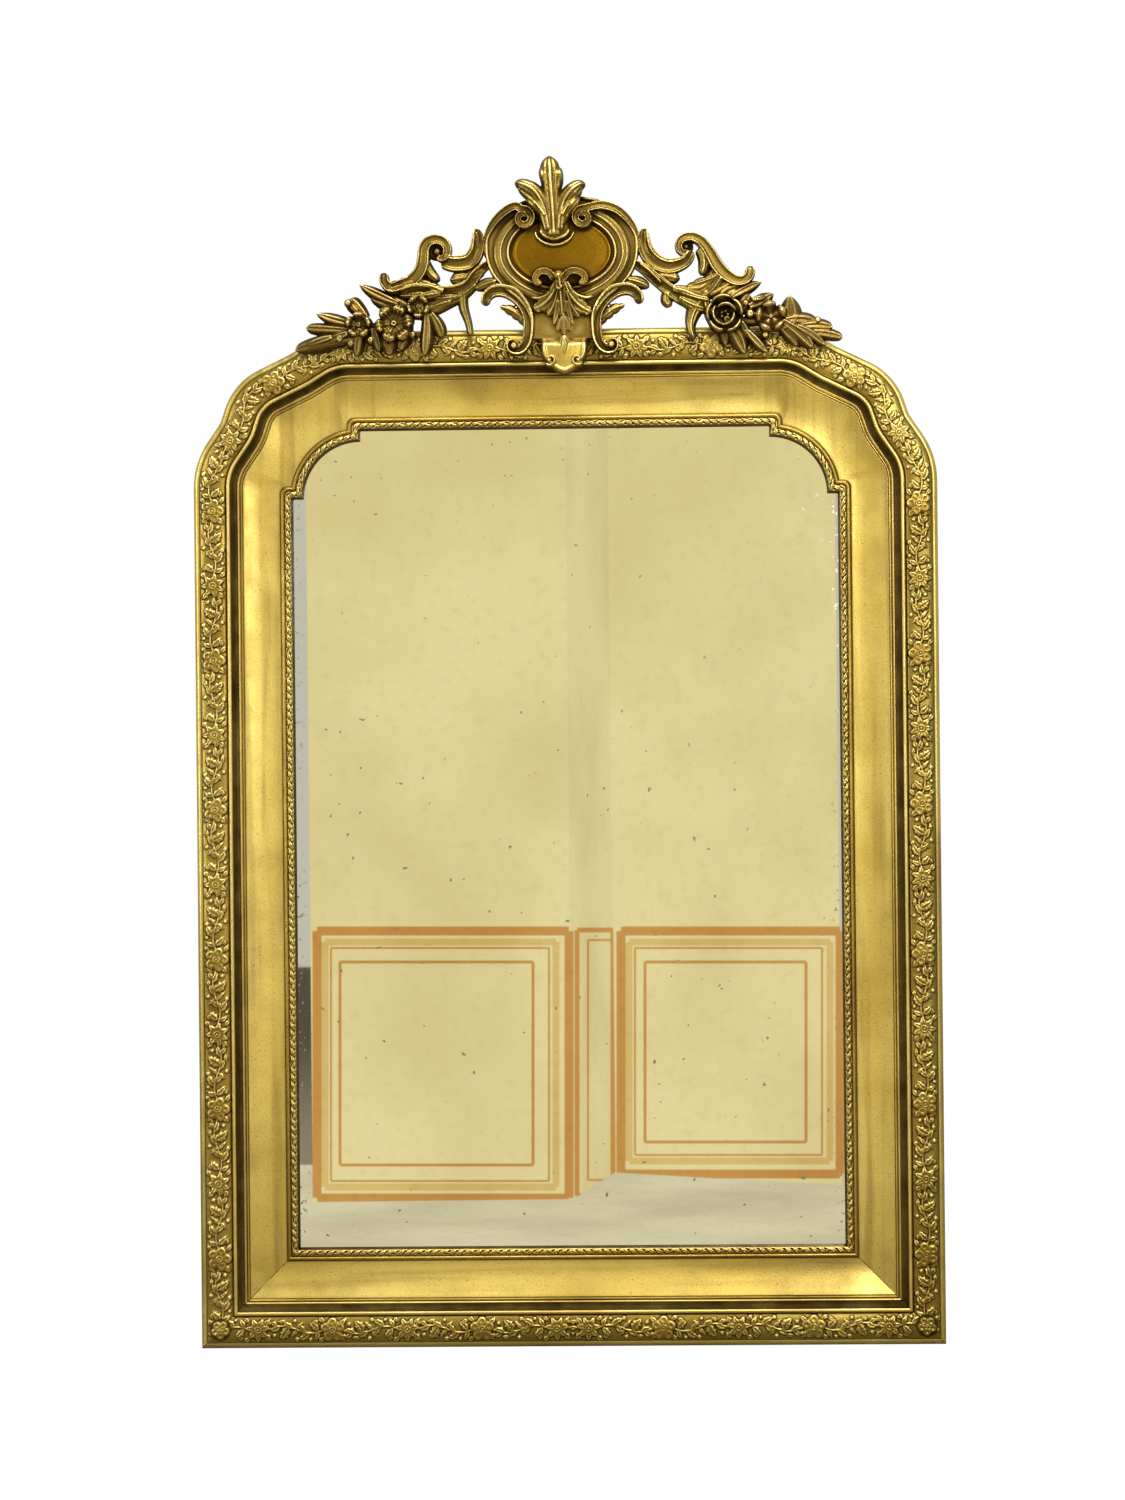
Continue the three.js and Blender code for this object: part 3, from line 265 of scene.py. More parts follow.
def front_profile():
    rows = [(0, 0, 0.3), (0, 8, 0.3), (0, 30, 0.3), (0, 44.5, 0.25), (0.4, 46.4, 0), (1.6, 48.2, 0),
            (3.4, 49.5, 0.05)]
    rows += [(5.2, 50, 0.15), (6.9, 49.9, 0.6), (7.5, 49.4, 1)]
    for k in range(13):
        share = k / 12
        rows.append((TORUS_START + TORUS_WIDTH * share,
                     TORUS_BASE + TORUS_RISE * math.sqrt(1 - (2 * share - 1) ** 2), 0.8))
    rows += [(41.3, 49.6, 1), (41.9, 50.6, 0.55)]
    for k in range(9):
        a = math.pi * (0.08 + 0.84 * k / 8)
        rows.append((44.4 - 2.5 * math.cos(a), 51.6 + 2.4 * math.sin(a), 0.8 * abs(math.cos(a)) ** 3 - 0.3))
    rows += [(46.9, 51.6, 0.6), (47.0, 50.4, 1)]
    # painted shade: the cavetto is made fully dark on every member, shade as well as soiling
    for k in range(1, 9):
        x = k / 8
        rows.append((47.0 + 6.6 * x, 50.4 - 8.8 * math.sin(x * math.pi / 2), 1.0))
    rows += [(53.8, 41.6, 1.0), (54.0, 42.2, 0.8)]
    rows += half_round(54.2, 4.3, 42.4, 2.7)
    rows += [(58.7, 41.9, 1), (59.0, 42.4, 0.6)]
    rows += half_round(59.1, 2.5, 42.4, 1.7, 5)
    rows += [(61.9, 41.7, 0.95), (62.5, 42.1, 0.35)]
    return rows


def cove_rows():
    """(share of the way across the cove, height, shading: darker at both edges, as soiling and painted
    shade).
    """
    out = []
    for k in range(15):
        t = k / 14
        out.append((t, 33 + 9 * (1 - t) ** 2, 0.25 * (1 - smooth(0, 0.08, t)) + 0.4 * smooth(0.93, 1, t)))
    return out


BACK_ROWS = [(SIGHT, 29), (SIGHT - 8, 29), (SIGHT - 8, 0)]


def member_section():
    rows = front_profile() + [(COVE_START + 45 * t, h, g) for t, h, g in cove_rows()]
    return rows + [(MEMBER - out, h, 0.6) for out, h in BACK_ROWS]


def bottom_rings(rows, stations=2, gap=0.06):
    """Rings of a member along the bottom, mitred at both ends."""
    share = np.linspace(-1, 1, stations)
    rings = np.zeros((stations, len(rows), 3))
    for n, (inward, height) in enumerate((r[0], r[1]) for r in rows):
        rings[:, n] = np.stack([share * (HALF - inward - gap), np.full(stations, inward),
                                np.full(stations, height)], -1)
    return rings


def upright_rings(rows, stations=2, gap=0.06):
    share = np.linspace(0, 1, stations)
    rings = np.zeros((stations, len(rows), 3))
    for n, (inward, height) in enumerate((r[0], r[1]) for r in rows):
        foot = inward + gap
        rings[:, n, 0] = HALF - inward
        rings[:, n, 1] = foot + (JOINT_Y - 0.05 - foot) * share
        rings[:, n, 2] = height
    return rings


def top_rings(rows, stations=2):
    share = np.linspace(1, -1, stations)
    rings = np.zeros((stations, len(rows), 3))
    for n, (inward, height) in enumerate((r[0], r[1]) for r in rows):
        rings[:, n, 0] = (JOINT_X - 0.05) * share
        rings[:, n, 1] = HEIGHT - inward
        rings[:, n, 2] = height
    return rings


def shoulder_rings():
    start = outer_contour(COVE_START)
    foot = sight_contour(SIGHT)
    rows = [(outer_contour(inward), h) for inward, h, _ in front_profile()]
    rows += [(start + (foot - start) * t, h) for t, h, _ in cove_rows()]
    rows += [(sight_contour(out), h) for out, h in BACK_ROWS]
    return np.stack([np.column_stack([c, np.full(len(c), h)]) for c, h in rows], axis=1)


def mirrored(rings):
    return rings * np.array([-1, 1, 1])


def handed(rings, side):
    """Rings drawn for the right side, mirrored where the side is -1."""
    return mirrored(rings) if side < 0 else rings


# ---- relief of the floral band: one repeat, drawn on a fine grid ----
TILE_LENGTH = 190.0
TILE_STEP = 0.4


class Relief:
    """A repeating height map in millimetres, u along it and v across it."""

    def __init__(self, length, width, step=TILE_STEP):
        self.length, self.width, self.step = length, width, step
        self.u, self.v = np.meshgrid(np.arange(0, length, step), np.arange(0, width + step, step),
                                     indexing="ij")
        self.height = np.zeros_like(self.u)

    def local(self, x, y):
        du = (self.u - x + self.length / 2) % self.length - self.length / 2
        return du, self.v - y

    def lay(self, shape):
        self.height = np.maximum(self.height, shape)

    def dome(self, x, y, radius, rise, dimple=0.0, full=2):
        du, dv = self.local(x, y)
        q = np.hypot(du, dv) / radius
        self.lay(rise * np.sqrt(np.clip(1 - q ** full, 0, 1)) * (1 - dimple * np.exp(-(q / 0.45) ** 2)))

    def button(self, x, y, radius, rise):
        """A ring with a dot in it."""
        du, dv = self.local(x, y)
        q = np.hypot(du, dv) / radius
        wave = 0.78 + 0.22 * np.cos(2 * math.pi * q / 0.76)
        self.lay(rise * wave * np.sqrt(np.clip(1 - q ** 5, 0, 1)))

    def round_flower(self, x, y, radius, rise, turn=0.0):
        self.dome(x, y, 0.8 * radius, 0.7 * rise, 0, 6)
        for k in range(5):
            a = turn + k * 2 * math.pi / 5
            self.dome(x + 0.6 * radius * math.cos(a), y + 0.6 * radius * math.sin(a), 0.4 * radius, rise,
                      0.42, 3)
        self.button(x, y, 0.32 * radius, rise * 1.15)

    def daisy(self, x, y, radius, rise, petals=7, turn=0.0):
        for k in range(petals):
            a = turn + k * 2 * math.pi / petals
            self.leaf(x + 0.2 * radius * math.cos(a), y + 0.2 * radius * math.sin(a), a, 0.84 * radius,
                      0.29 * radius, rise, 0, 0.25)
        self.button(x, y, 0.36 * radius, rise * 1.2)

    def leaf(self, x, y, angle, length, width, rise=2.6, bend=0.0, vein=0.4):
        du, dv = self.local(x, y)
        a = (du * math.cos(angle) + dv * math.sin(angle)) / length
        t = np.clip(a, 0, 1)
        b = -du * math.sin(angle) + dv * math.cos(angle) - bend * np.sin(math.pi * t)
        half = width * np.sin(math.pi * t ** 0.8) ** 0.8 * (1 + 0.12 * np.cos(length * 1.1 * t)) + 1e-6
        q = np.abs(b) / half
        shape = rise * np.sqrt(np.clip(1 - 0.85 * q ** 4, 0, 1)) * (0.7 + 0.3 * np.sin(math.pi * t))
        shape -= vein * rise * np.exp(-(b / 0.6) ** 2) * smooth(0.05, 0.2, t)
        shape -= 0.3 * vein * rise * (0.5 + 0.5
                                      * np.cos(2 * math.pi * (length / 3.6 * t - 0.9 * q))) * smooth(2.6, 4.2,
                                                                                                     half)
        self.lay(np.where((q < 1) & (a > 0) & (a < 1), shape, 0))

    def stem(self, points, thick=0.9, rise=1.7):
        for (x0, y0), (x1, y1) in zip(points, points[1:]):
            du, dv = self.local(x0, y0)
            lx, ly = x1 - x0, y1 - y0
            t = np.clip((du * lx + dv * ly) / (lx * lx + ly * ly), 0, 1)
            q = np.hypot(du - t * lx, dv - t * ly) / thick
            self.lay(rise * np.sqrt(np.clip(1 - q * q, 0, 1)))

    def blurred(self, reach):
        out = self.height.copy()
        for _ in range(reach):
            out = (np.roll(out, 1, 0) + np.roll(out, -1, 0) + 2 * out) / 4
            side = np.pad(out, ((0, 0), (1, 1)), mode="edge")
            out = (side[:, 2:] + side[:, :-2] + 2 * out) / 4
        return out

    def finish(self):
        """Softens the edges and works out how deep each point lies among its neighbours, which paints shade
        with soiling into the hollows and highlight with abrasion onto the heights.
        """
        self.height = self.blurred(1)
        top = self.height.max()
        near = (self.blurred(6) - self.height) / (0.14 * top)
        broad = (self.blurred(30) - self.height) / (0.25 * top)
        # painted shade in the hollows, with soiling; the line below adds painted highlight on the broad
        # heights
        dirt_and_shade = np.clip(0.08 + 0.85 * smooth(0.05, 1.0, near) + 0.6 * smooth(0.05, 1.2, broad), 0, 1)
        self.grime_and_shading = dirt_and_shade - 0.75 * smooth(0.05, 0.8, -broad)

    def sample(self, values, u, v):
        x = (np.asarray(u) % self.length) / self.step
        y = np.clip(np.asarray(v) / self.step, 0, self.u.shape[1] - 1.001)
        i, j = x.astype(int), y.astype(int)
        fx, fy = x - i, y - j
        rows = self.u.shape[0]
        i, k = i % rows, (i + 1) % rows
        low = values[i, j] * (1 - fx) + values[k, j] * fx
        high = values[i, j + 1] * (1 - fx) + values[k, j + 1] * fx
        return low * (1 - fy) + high * fy


def floral_relief():
    """Two flowers to a repeat, each followed by a sprig with veined leaves, thin twigs and buds."""
    r = Relief(TILE_LENGTH, TORUS_WIDTH)
    half_turn = math.pi
    for x, up in ((20, 1), (115, -1)):
        middle = TORUS_WIDTH / 2
        stem = [(x + 10, middle), (x + 24, middle + 4 * up), (x + 38, middle + 2 * up),
                (x + 52, middle - 3 * up),
                (x + 66, middle - 5 * up), (x + 84, middle)]
        r.stem([tuple(p) for p in spline(stem, 2.0)], 1.25, 2.1)
        for dx, dy, angle, length, width, rise, bend in (
            (17, 3, 1.05, 12, 3.4, 2.6, 0.6), (18, 1, -0.75, 15, 4.6, 2.7, -0.8),
            (29, 4, 0.5, 17, 4.4, 2.7, 1.2),
            (34, 2, -0.85, 14, 3.0, 2.4, 0.8), (40, 1, 2.3, 12, 2.4, 2.3, 0.5),
            (43, 0, 0.75, 15, 2.4, 2.3, -0.6),
            (46, -1, -2.35, 12, 2.4, 2.3, 0.5), (50, -2, -0.5, 15, 3.6, 2.5, -0.8),
            (56, -4, 0.95, 19, 6.2, 2.9, 1.5),
            (66, -5, 0.35, 15, 4.0, 2.6, 1.0), (70, -5, -0.5, 11, 3.2, 2.4, -0.5),
            (-9, 5, 2.2, 11, 3.6, 2.4, -0.5),
            (-9, -5, -2.3, 12, 3.8, 2.4, 0.5), (11, 10, 0.7, 9, 3.0, 2.2, 0),
            (10, -10, -0.6, 10, 3.2, 2.2, 0),
            (26, -9, half_turn + 0.3, 9, 2.8, 2.2, 0), (60, -11, 0.1, 10, 2.4, 2.1, 0),
        ):
            r.leaf(x + dx, middle + dy * up, angle * up, length, width, rise, bend * up)
        for dx, dy, radius in ((28, 12.5, 2.4), (45, 12.5, 3.0), (48, -11.5, 2.6), (74, 7, 2.6),
                               (80, -8, 2.2)):
            r.dome(x + dx, middle + dy * up, radius, 2.4, 0.3, 3)
    r.round_flower(115, TORUS_WIDTH / 2, 16.2, 3.3, 0.3)
    r.daisy(20, TORUS_WIDTH / 2, 15.0, 3.2, 7, 0.2)
    r.finish()
    return r


RIBBON_WIDTH = 8.4
LIP = 1.9


def ribbon_relief():
    r = Relief(33.0, RIBBON_WIDTH, 0.3)
    for x, rise in ((4.0, 2.4), (13.5, 2.8), (23.0, 2.4)):
        r.leaf(x - 6.5, 2.2, 0.36, 12, 2.3, rise, 0.6)
        r.dome(x + 5.0, 2.9, 1.7, rise, 0.4)
        r.dome(x - 0.8, 6.3, 1.3, rise * 0.8, 0.3)
    r.leaf(26.0, 5.4, -0.42, 8, 1.9, 2.4, -0.5)
    r.stem([(x, 0.8 + 0.5 * abs(math.sin(x * math.pi / 4.7))) for x in np.arange(0, 34, 0.6)], 0.8, 1.6)
    r.stem([(x, 7.5 + 0.3 * math.sin(x * 2 * math.pi / 5.5)) for x in np.arange(0, 34, 1.0)], 0.7, 1.4)
    r.finish()
    return r


# ---- floral bands and sight mouldings as fine strips ----
STRIP_STEP = 0.8
SIDE_DARKENING = 0.16


CORNER_IN = 24.5
CORNER_CLEAR = 14.0
CORNER_PETALS = 5


def corner_flower(x, y):
    """Height of the flower that covers the mitre, and where it clears the pattern under it."""
    du, dv = np.abs(x) - (HALF - CORNER_IN), y - CORNER_IN
    reach = np.hypot(du, dv)
    height = np.zeros_like(reach)
    for k in range(CORNER_PETALS):
        a = 0.9 + k * 2 * math.pi / CORNER_PETALS
        q = np.hypot(du - 7.2 * math.cos(a), dv - 7.2 * math.sin(a)) / 5.4
        height = np.maximum(height,
                            3.4 * np.sqrt(np.clip(1 - q ** 3, 0, 1)) * (1 - 0.55 * np.exp(-(q / 0.45) ** 2)))
    q = reach / 3.0
    height = np.maximum(height,
                        4.0 * np.sqrt(np.clip(1 - q * q, 0, 1)) * (1 - 0.5 * np.exp(-(q / 0.35) ** 2)))
    return height, reach < CORNER_CLEAR


def strip_rings(kind, columns, place, contour):
    """Points of a strip along one member: kind names the member, place turns a share (0..1 across)
    into (distance from the edge, base height). Returns points and their run along the member."""
    share = np.linspace(0, 1, columns)
    edge, height = place(share)
    if kind == "bottom":
        reach = HALF - edge - 0.05
        rows = int(2 * HALF / STRIP_STEP)
        x = np.linspace(-1, 1, rows)[:, None] * reach[None]
        y = np.broadcast_to(edge, x.shape)
        run = np.abs(x)
    elif kind == "upright":
        foot = edge + 0.05
        rows = int(JOINT_Y / STRIP_STEP)
        y = foot + (JOINT_Y - 0.03 - foot) * np.linspace(0, 1, rows)[:, None]
        x = np.broadcast_to(HALF - edge, y.shape)
        run = y.copy()
    elif kind == "top":
        rows = int(2 * JOINT_X / STRIP_STEP)
        x = np.broadcast_to(np.linspace(JOINT_X - 0.03, -JOINT_X + 0.03, rows)[:, None], (rows, columns))
        y = np.broadcast_to(HEIGHT - edge, x.shape)
        run = JOINT_Y + shoulder_length(contour, edge[columns // 2]) + JOINT_X - np.abs(x)
    else:
        middle = contour(edge[columns // 2])
        steps = np.concatenate([[0], np.cumsum(np.linalg.norm(np.diff(middle, axis=0), axis=1))])
        rows = int(steps[-1] / STRIP_STEP)
        even = np.linspace(0, steps[-1], rows)
        lines = [contour(e) for e in edge]
        x = np.stack([np.interp(even, steps, line[:, 0]) for line in lines], 1)
        y = np.stack([np.interp(even, steps, line[:, 1]) for line in lines], 1)
        run = np.broadcast_to(JOINT_Y + even[:, None], x.shape)
    return x, y, np.broadcast_to(height, x.shape).copy(), run


def shoulder_length(contour, edge):
    return np.linalg.norm(np.diff(contour(edge), axis=0), axis=1).sum()


def strip(name, kind, side, relief, place, contour, under, corner, material):
    columns = int(relief.width / STRIP_STEP) + 1
    x, y, h, run = strip_rings(kind, columns, place, contour)
    across = np.broadcast_to(np.linspace(0, relief.width, columns), x.shape)
    lift = relief.sample(relief.height, run, across)
    grime_and_shading = relief.sample(relief.grime_and_shading, run, across)
    if corner and kind in ("bottom", "upright"):
        flower, inside = corner_flower(x, y)
        lift = np.where(inside, flower, lift)
        # round the corner flower the ground is painted dark and its top light, painted shade and highlight
        # with soiling
        grime_and_shading = np.where(inside, 0.75 - 1.1 * smooth(0.2, 3.0, flower), grime_and_shading)
    # the bottom, top and right-hand strips are painted darker than the left-hand ones
    if kind in ("bottom", "top") or (side > 0 and kind == "upright"):
        grime_and_shading = grime_and_shading + SIDE_DARKENING
    margin = smooth(-0.4, 0.9, across) * smooth(-0.4, 0.9, relief.width - across)
    top = np.stack([x, y, h + lift * margin], -1)
    low = top[:, [-1, 0]].copy()
    low[..., 2] = under
    rings = np.concatenate([top, low], 1)
    # the strip's sides and underside are painted fully dark, as shade with soiling
    grime_and_shading = np.concatenate([grime_and_shading, np.ones_like(low[..., 0])], 1)
    if side < 0:
        rings = mirrored(rings)
    return sweep(name, rings, material, {"grime_and_shading": grime_and_shading})


# ---- materials ----
def rgb(red, green, blue):
    """A colour read as 0..255 sRGB, as the linear values that a shader takes."""
    values = np.array([red, green, blue]) / 255
    return (*np.where(values < 0.04045, values / 12.92, ((values + 0.055) / 1.055) ** 2.4), 1.0)


class Nodes:
    """Short names for the nodes of one material."""

    def __init__(self, name):
        self.material = bpy.data.materials.new(name)
        self.material.use_nodes = True
        self.tree = self.material.node_tree
        self.shader = self.tree.nodes["Principled BSDF"]
        self.place = self.tree.nodes.new("ShaderNodeTexCoord").outputs["Object"]

    def link(self, source, target):
        if isinstance(source, (int, float, tuple)):
            target.default_value = source
        else:
            self.tree.links.new(source, target)

    def stretched(self, x, y, z):
        node = self.tree.nodes.new("ShaderNodeMapping")
        self.link(self.place, node.inputs["Vector"])
        node.inputs["Scale"].default_value = (x, y, z)
        return node.outputs["Vector"]

    def noise(self, scale, detail=3.0, low=0.0, high=1.0, where=None, distortion=0.0):
        node = self.tree.nodes.new("ShaderNodeTexNoise")
        self.link(self.place if where is None else where, node.inputs["Vector"])
        node.inputs["Scale"].default_value = scale
        node.inputs["Detail"].default_value = detail
        node.inputs["Distortion"].default_value = distortion
        return self.span(node.outputs["Fac"], low, high)

    def span(self, value, low, high, out_low=0.0, out_high=1.0):
        node = self.tree.nodes.new("ShaderNodeMapRange")
        node.interpolation_type = "SMOOTHSTEP"
        self.link(value, node.inputs["Value"])
        for key, number in (("From Min", low), ("From Max", high), ("To Min", out_low), ("To Max", out_high)):
            node.inputs[key].default_value = number
        return node.outputs["Result"]

    def sum(self, operation, a, b):
        node = self.tree.nodes.new("ShaderNodeMath")
        node.operation = operation
        node.use_clamp = operation != "SUBTRACT"
        self.link(a, node.inputs[0])
        self.link(b, node.inputs[1])
        return node.outputs[0]

    def free(self, operation, a, b):
        out = self.sum(operation, a, b)
        out.node.use_clamp = False
        return out

    def attribute(self, name):
        node = self.tree.nodes.new("ShaderNodeAttribute")
        node.attribute_name = name
        return node.outputs["Fac"]

    def along(self, axis):
        node = self.tree.nodes.new("ShaderNodeSeparateXYZ")
        self.link(self.place, node.inputs[0])
        return node.outputs[axis]

    def mix(self, share, a, b):
        node = self.tree.nodes.new("ShaderNodeMix")
        node.data_type = "RGBA"
        self.link(share, node.inputs["Factor"])
        self.link(a, node.inputs["A"])
        self.link(b, node.inputs["B"])
        return node.outputs["Result"]

    def bump(self, height, strength, distance):
        node = self.tree.nodes.new("ShaderNodeBump")
        node.inputs["Strength"].default_value = strength
        node.inputs["Distance"].default_value = distance
        self.link(height, node.inputs["Height"])
        self.link(node.outputs["Normal"], self.shader.inputs["Normal"])

    def done(self, **inputs):
        for key, value in inputs.items():
            self.link(value, self.shader.inputs[key.replace("_", " ")])
        return self.material


GRIME_AND_SHADE = rgb(38, 22, 2)


def gilt(name, light, deep, worn_and_lit, rough=0.34, streak=None, patch_colour=None, crack=False):
    """Gilding over gesso: warm patches, fine specks, abraded ridges lightened further as painted highlight,
    and umber soiling in the hollows darkened further as painted shade.
    The shading attribute is 1 in a soiled, shaded hollow and below 0 on an abraded, highlighted ridge."""
    n = Nodes(name)
    broad = n.noise(7, 4, 0.35, 0.68)
    medium = n.noise(38, 4, 0.3, 0.72)
    fine = n.noise(420, 2, 0.35, 0.65)
    colour = n.mix(n.sum("MULTIPLY", broad, 0.7), light, deep)
    colour = n.mix(n.sum("MULTIPLY", medium, 0.35), colour, deep)
    if streak:
        colour = n.mix(n.sum("MULTIPLY", n.noise(1.0, 5, 0.46, 0.72, n.stretched(*streak)), 0.55), colour,
                       patch_colour)
        colour = n.mix(n.sum("MULTIPLY", n.noise(5, 4, 0.54, 0.7), 0.6), colour, patch_colour)
    colour = n.mix(n.sum("MULTIPLY", fine, 0.22), colour, deep)
    colour = n.mix(n.sum("MULTIPLY", n.noise(600, 2, 0.60, 0.72), 0.55), colour, GRIME_AND_SHADE)
    state = n.attribute("grime_and_shading")
    wear_and_sheen = n.span(state, 0.0, -0.6)
    # painted highlight: the heights take the bright colour, abrasion and painted highlight together
    colour = n.mix(n.sum("MULTIPLY", wear_and_sheen, 0.8), colour, worn_and_lit)
    dirt_and_shade = n.sum("MULTIPLY", n.span(state, 0.0, 1.0), n.span(n.noise(30, 3), 0.0, 1.0, 0.8, 1.0))
    if crack:
        across = n.free("ABSOLUTE", n.along("X"), 0.0)
        line = n.free("SUBTRACT", n.free("ADD", across, n.along("Z")), (HALF - LIFT) / 1000)
        split = n.span(n.free("ABSOLUTE", line, 0.0), 0.0009, 0.0003)
        dirt_and_shade = n.sum("MAXIMUM", dirt_and_shade, n.sum("MULTIPLY", split, n.noise(45, 2, 0.3, 0.5)))
    # painted shade: the hollows take the umber colour, soiling and painted shade together
    colour = n.mix(n.sum("MULTIPLY", dirt_and_shade, 0.96), colour, GRIME_AND_SHADE)
    roughness = n.sum("ADD", n.sum("MULTIPLY", medium, 0.14), rough - 0.05)
    roughness = n.sum("ADD", roughness, n.sum("MULTIPLY", dirt_and_shade, 0.3))
    n.bump(n.sum("ADD", n.sum("MULTIPLY", fine, 0.4), n.sum("MULTIPLY", medium, 0.6)), 0.25, 0.0004)
    return n.done(Base_Color=colour, Roughness=roughness, Metallic=0.94)


def wood(name, light, dark, grain, along):
    """Raw wood with long grain; along is the axis that the grain follows."""
    n = Nodes(name)
    scale = [grain, grain, grain]
    scale["XYZ".index(along)] = grain * 0.04
    lines = n.noise(1.0, 6, 0.32, 0.7, n.stretched(*scale), 0.6)
    broad = n.noise(6, 3, 0.3, 0.7)
    colour = n.mix(lines, light, dark)
    colour = n.mix(n.sum("MULTIPLY", broad, 0.45), colour, dark)
    n.bump(lines, 0.3, 0.0005)
    return n.done(Base_Color=colour, Roughness=n.span(lines, 0, 1, 0.68, 0.86))


def iron():
    n = Nodes("iron")
    rust = n.noise(160, 5, 0.5, 0.68)
    colour = n.mix(rust, rgb(86, 80, 76), rgb(96, 58, 34))
    n.bump(n.noise(700, 3), 0.3, 0.0003)
    return n.done(Base_Color=colour, Roughness=n.span(rust, 0, 1, 0.42, 0.85),
                  Metallic=n.span(rust, 0, 1, 0.9, 0.25))


def mirror_glass():
    """Old silvering: clear, with faint grey mottling that thickens to dark spots at the rim."""
    n = Nodes("silvered_glass")
    x = n.free("ABSOLUTE", n.along("X"), 0.0)
    edge = n.span(x, 0.330, 0.349, 0.0, 1.0)
    spots = n.noise(170, 5, 0.60, 0.70)
    rare = n.noise(95, 2, 0.735, 0.76)
    stain = n.sum("MAXIMUM", n.sum("MULTIPLY", spots, edge), rare)
    colour = n.mix(n.sum("MULTIPLY", stain, 0.7), rgb(240, 236, 214), rgb(70, 62, 48))
    return n.done(Base_Color=colour, Roughness=n.span(stain, 0, 1, 0.015, 0.35), Metallic=1.0)


# the third colour of each set is abraded gilding and painted highlight together
COVE_LIGHT, COVE_DEEP, COVE_WORN_AND_LIT = rgb(232, 210, 122), rgb(198, 170, 82), rgb(238, 220, 148)
BAND_LIGHT, BAND_DEEP, BAND_WORN_AND_LIT = rgb(182, 158, 78), rgb(138, 110, 38), rgb(238, 216, 140)
CREST_LIGHT, CREST_DEEP, CREST_WORN_AND_LIT = rgb(156, 132, 64), rgb(100, 76, 24), rgb(240, 216, 138)
PATCH = rgb(140, 112, 56)
gilt_rail = gilt("gilt_rail", COVE_LIGHT, COVE_DEEP, COVE_WORN_AND_LIT, streak=(3, 3, 60), patch_colour=PATCH,
                 crack=True)
gilt_stile = gilt("gilt_stile", COVE_LIGHT, COVE_DEEP, COVE_WORN_AND_LIT, streak=(60, 3, 3), patch_colour=PATCH,
                  crack=True)
gilt_band = gilt("gilt_band", BAND_LIGHT, BAND_DEEP, BAND_WORN_AND_LIT, 0.3)
gilt_sight = gilt("gilt_sight", rgb(196, 170, 88), BAND_DEEP, BAND_WORN_AND_LIT, 0.3)
gilt_crest = gilt("gilt_crest", CREST_LIGHT, CREST_DEEP, CREST_WORN_AND_LIT, 0.28)
gilt_spray = gilt("gilt_spray", rgb(132, 108, 54), rgb(84, 62, 20), CREST_WORN_AND_LIT, 0.28)
gilt_lobe = gilt("gilt_lobe", rgb(216, 188, 98), BAND_DEEP, rgb(248, 232, 160), 0.28)
gilt_plaque = gilt("gilt_plaque", rgb(142, 106, 18), rgb(92, 60, 4), rgb(150, 112, 30), 0.25)
pine_across = wood("pine_across", rgb(176, 138, 92), rgb(118, 84, 50), 90, "X")
pine_pale = wood("pine_pale", rgb(190, 154, 108), rgb(138, 102, 64), 80, "X")
pine_dull = wood("pine_dull", rgb(158, 122, 82), rgb(100, 72, 44), 100, "X")
pine_up = wood("pine_up", rgb(176, 138, 92), rgb(118, 84, 50), 90, "Z")
hardwood = wood("hardwood", rgb(128, 90, 54), rgb(78, 50, 28), 120, "Z")
forged = iron()
silver = mirror_glass()


# ---- frame members ----
KEYS_PROUD = 0.3


def bare_back(piece, material, plane):
    """Shows raw wood on the faces that look at the wall, down to a plane so many millimetres from it."""
    piece.data.materials.append(material)
    for face in piece.data.polygons:
        if face.normal.y > 0.9 and face.center.y > -plane / 1000:
            face.material_index = 1


def member(name, rings, rows, material, node, back):
    """A moulded member; its back lies a hair below the keys and brackets that are let into it."""
    rings = rings.copy()
    rings[..., 2] = np.maximum(rings[..., 2], KEYS_PROUD)
    grime_and_shading = np.broadcast_to(np.array([r[2] for r in rows]), rings.shape[:2])
    piece = sweep(name, rings, material, {"grime_and_shading": grime_and_shading}, sharp=50)
    bare_back(piece, back, 1)
    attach(piece, "frame_body")
    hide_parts(node)
    return piece


section = member_section()
shoulder_rows = front_profile() + [(0, h, g) for _, h, g in cove_rows()] + [(0, h, 0.6) for _, h in BACK_ROWS]
member("bottom_member", bottom_rings(section), section, gilt_rail, "bottom_rail", pine_across)
member("top_member", top_rings(section), section, gilt_rail, "top_rail", pine_across)
for side, word in ((-1, "left"), (1, "right")):
    member(f"{word}_member", handed(upright_rings(section), side), section, gilt_stile, f"{word}_stile",
           pine_up)
    member(f"{word}_shoulder_member", handed(shoulder_rings(), side), shoulder_rows, gilt_stile,
           f"{word}_shoulder", pine_up)


# ---- ornamental strips ----
def sight_rows():
    """The plain part of the sight moulding: (outward from the sight edge, height, painted shading)."""
    # painted shade: the sloped inner face down to the glass is made fully dark, a dark reveal against the
    # glass
    rows = [(0.0, 26.2, 1), (0.0, 26.9, 1), (1.9, 32.5, 1), (2.2, 34.0, 0.9), (RIBBON_WIDTH, 35.4, 0.9),
            (10.4, 34.6, 1)]
    for k in range(9):
        a = math.pi * k / 8
        rows.append((13.0 - 2.4 * math.cos(a), 34.6 + 3.0 * math.sin(a), 0.3 * abs(math.cos(a)) ** 4))
    rows += [(15.7, 34.2, 0.8), (16.7, 33.6, 0.5), (16.7, 29.3, 1), (8.7, 29.3, 1), (8.7, 26.2, 1)]
    return rows


def torus_place(share):
    height = TORUS_BASE + TORUS_RISE * np.sqrt(1 - (2 * share - 1) ** 2) + BAND_PROUD
    return TORUS_START + TORUS_WIDTH * share, height


def ribbon_place(share):
    return MEMBER - LIP - RIBBON_WIDTH * share, 34.2 + 1.4 * np.sin(math.pi * share)


def ribbon_contour(edge):
    return sight_contour(MEMBER - edge)


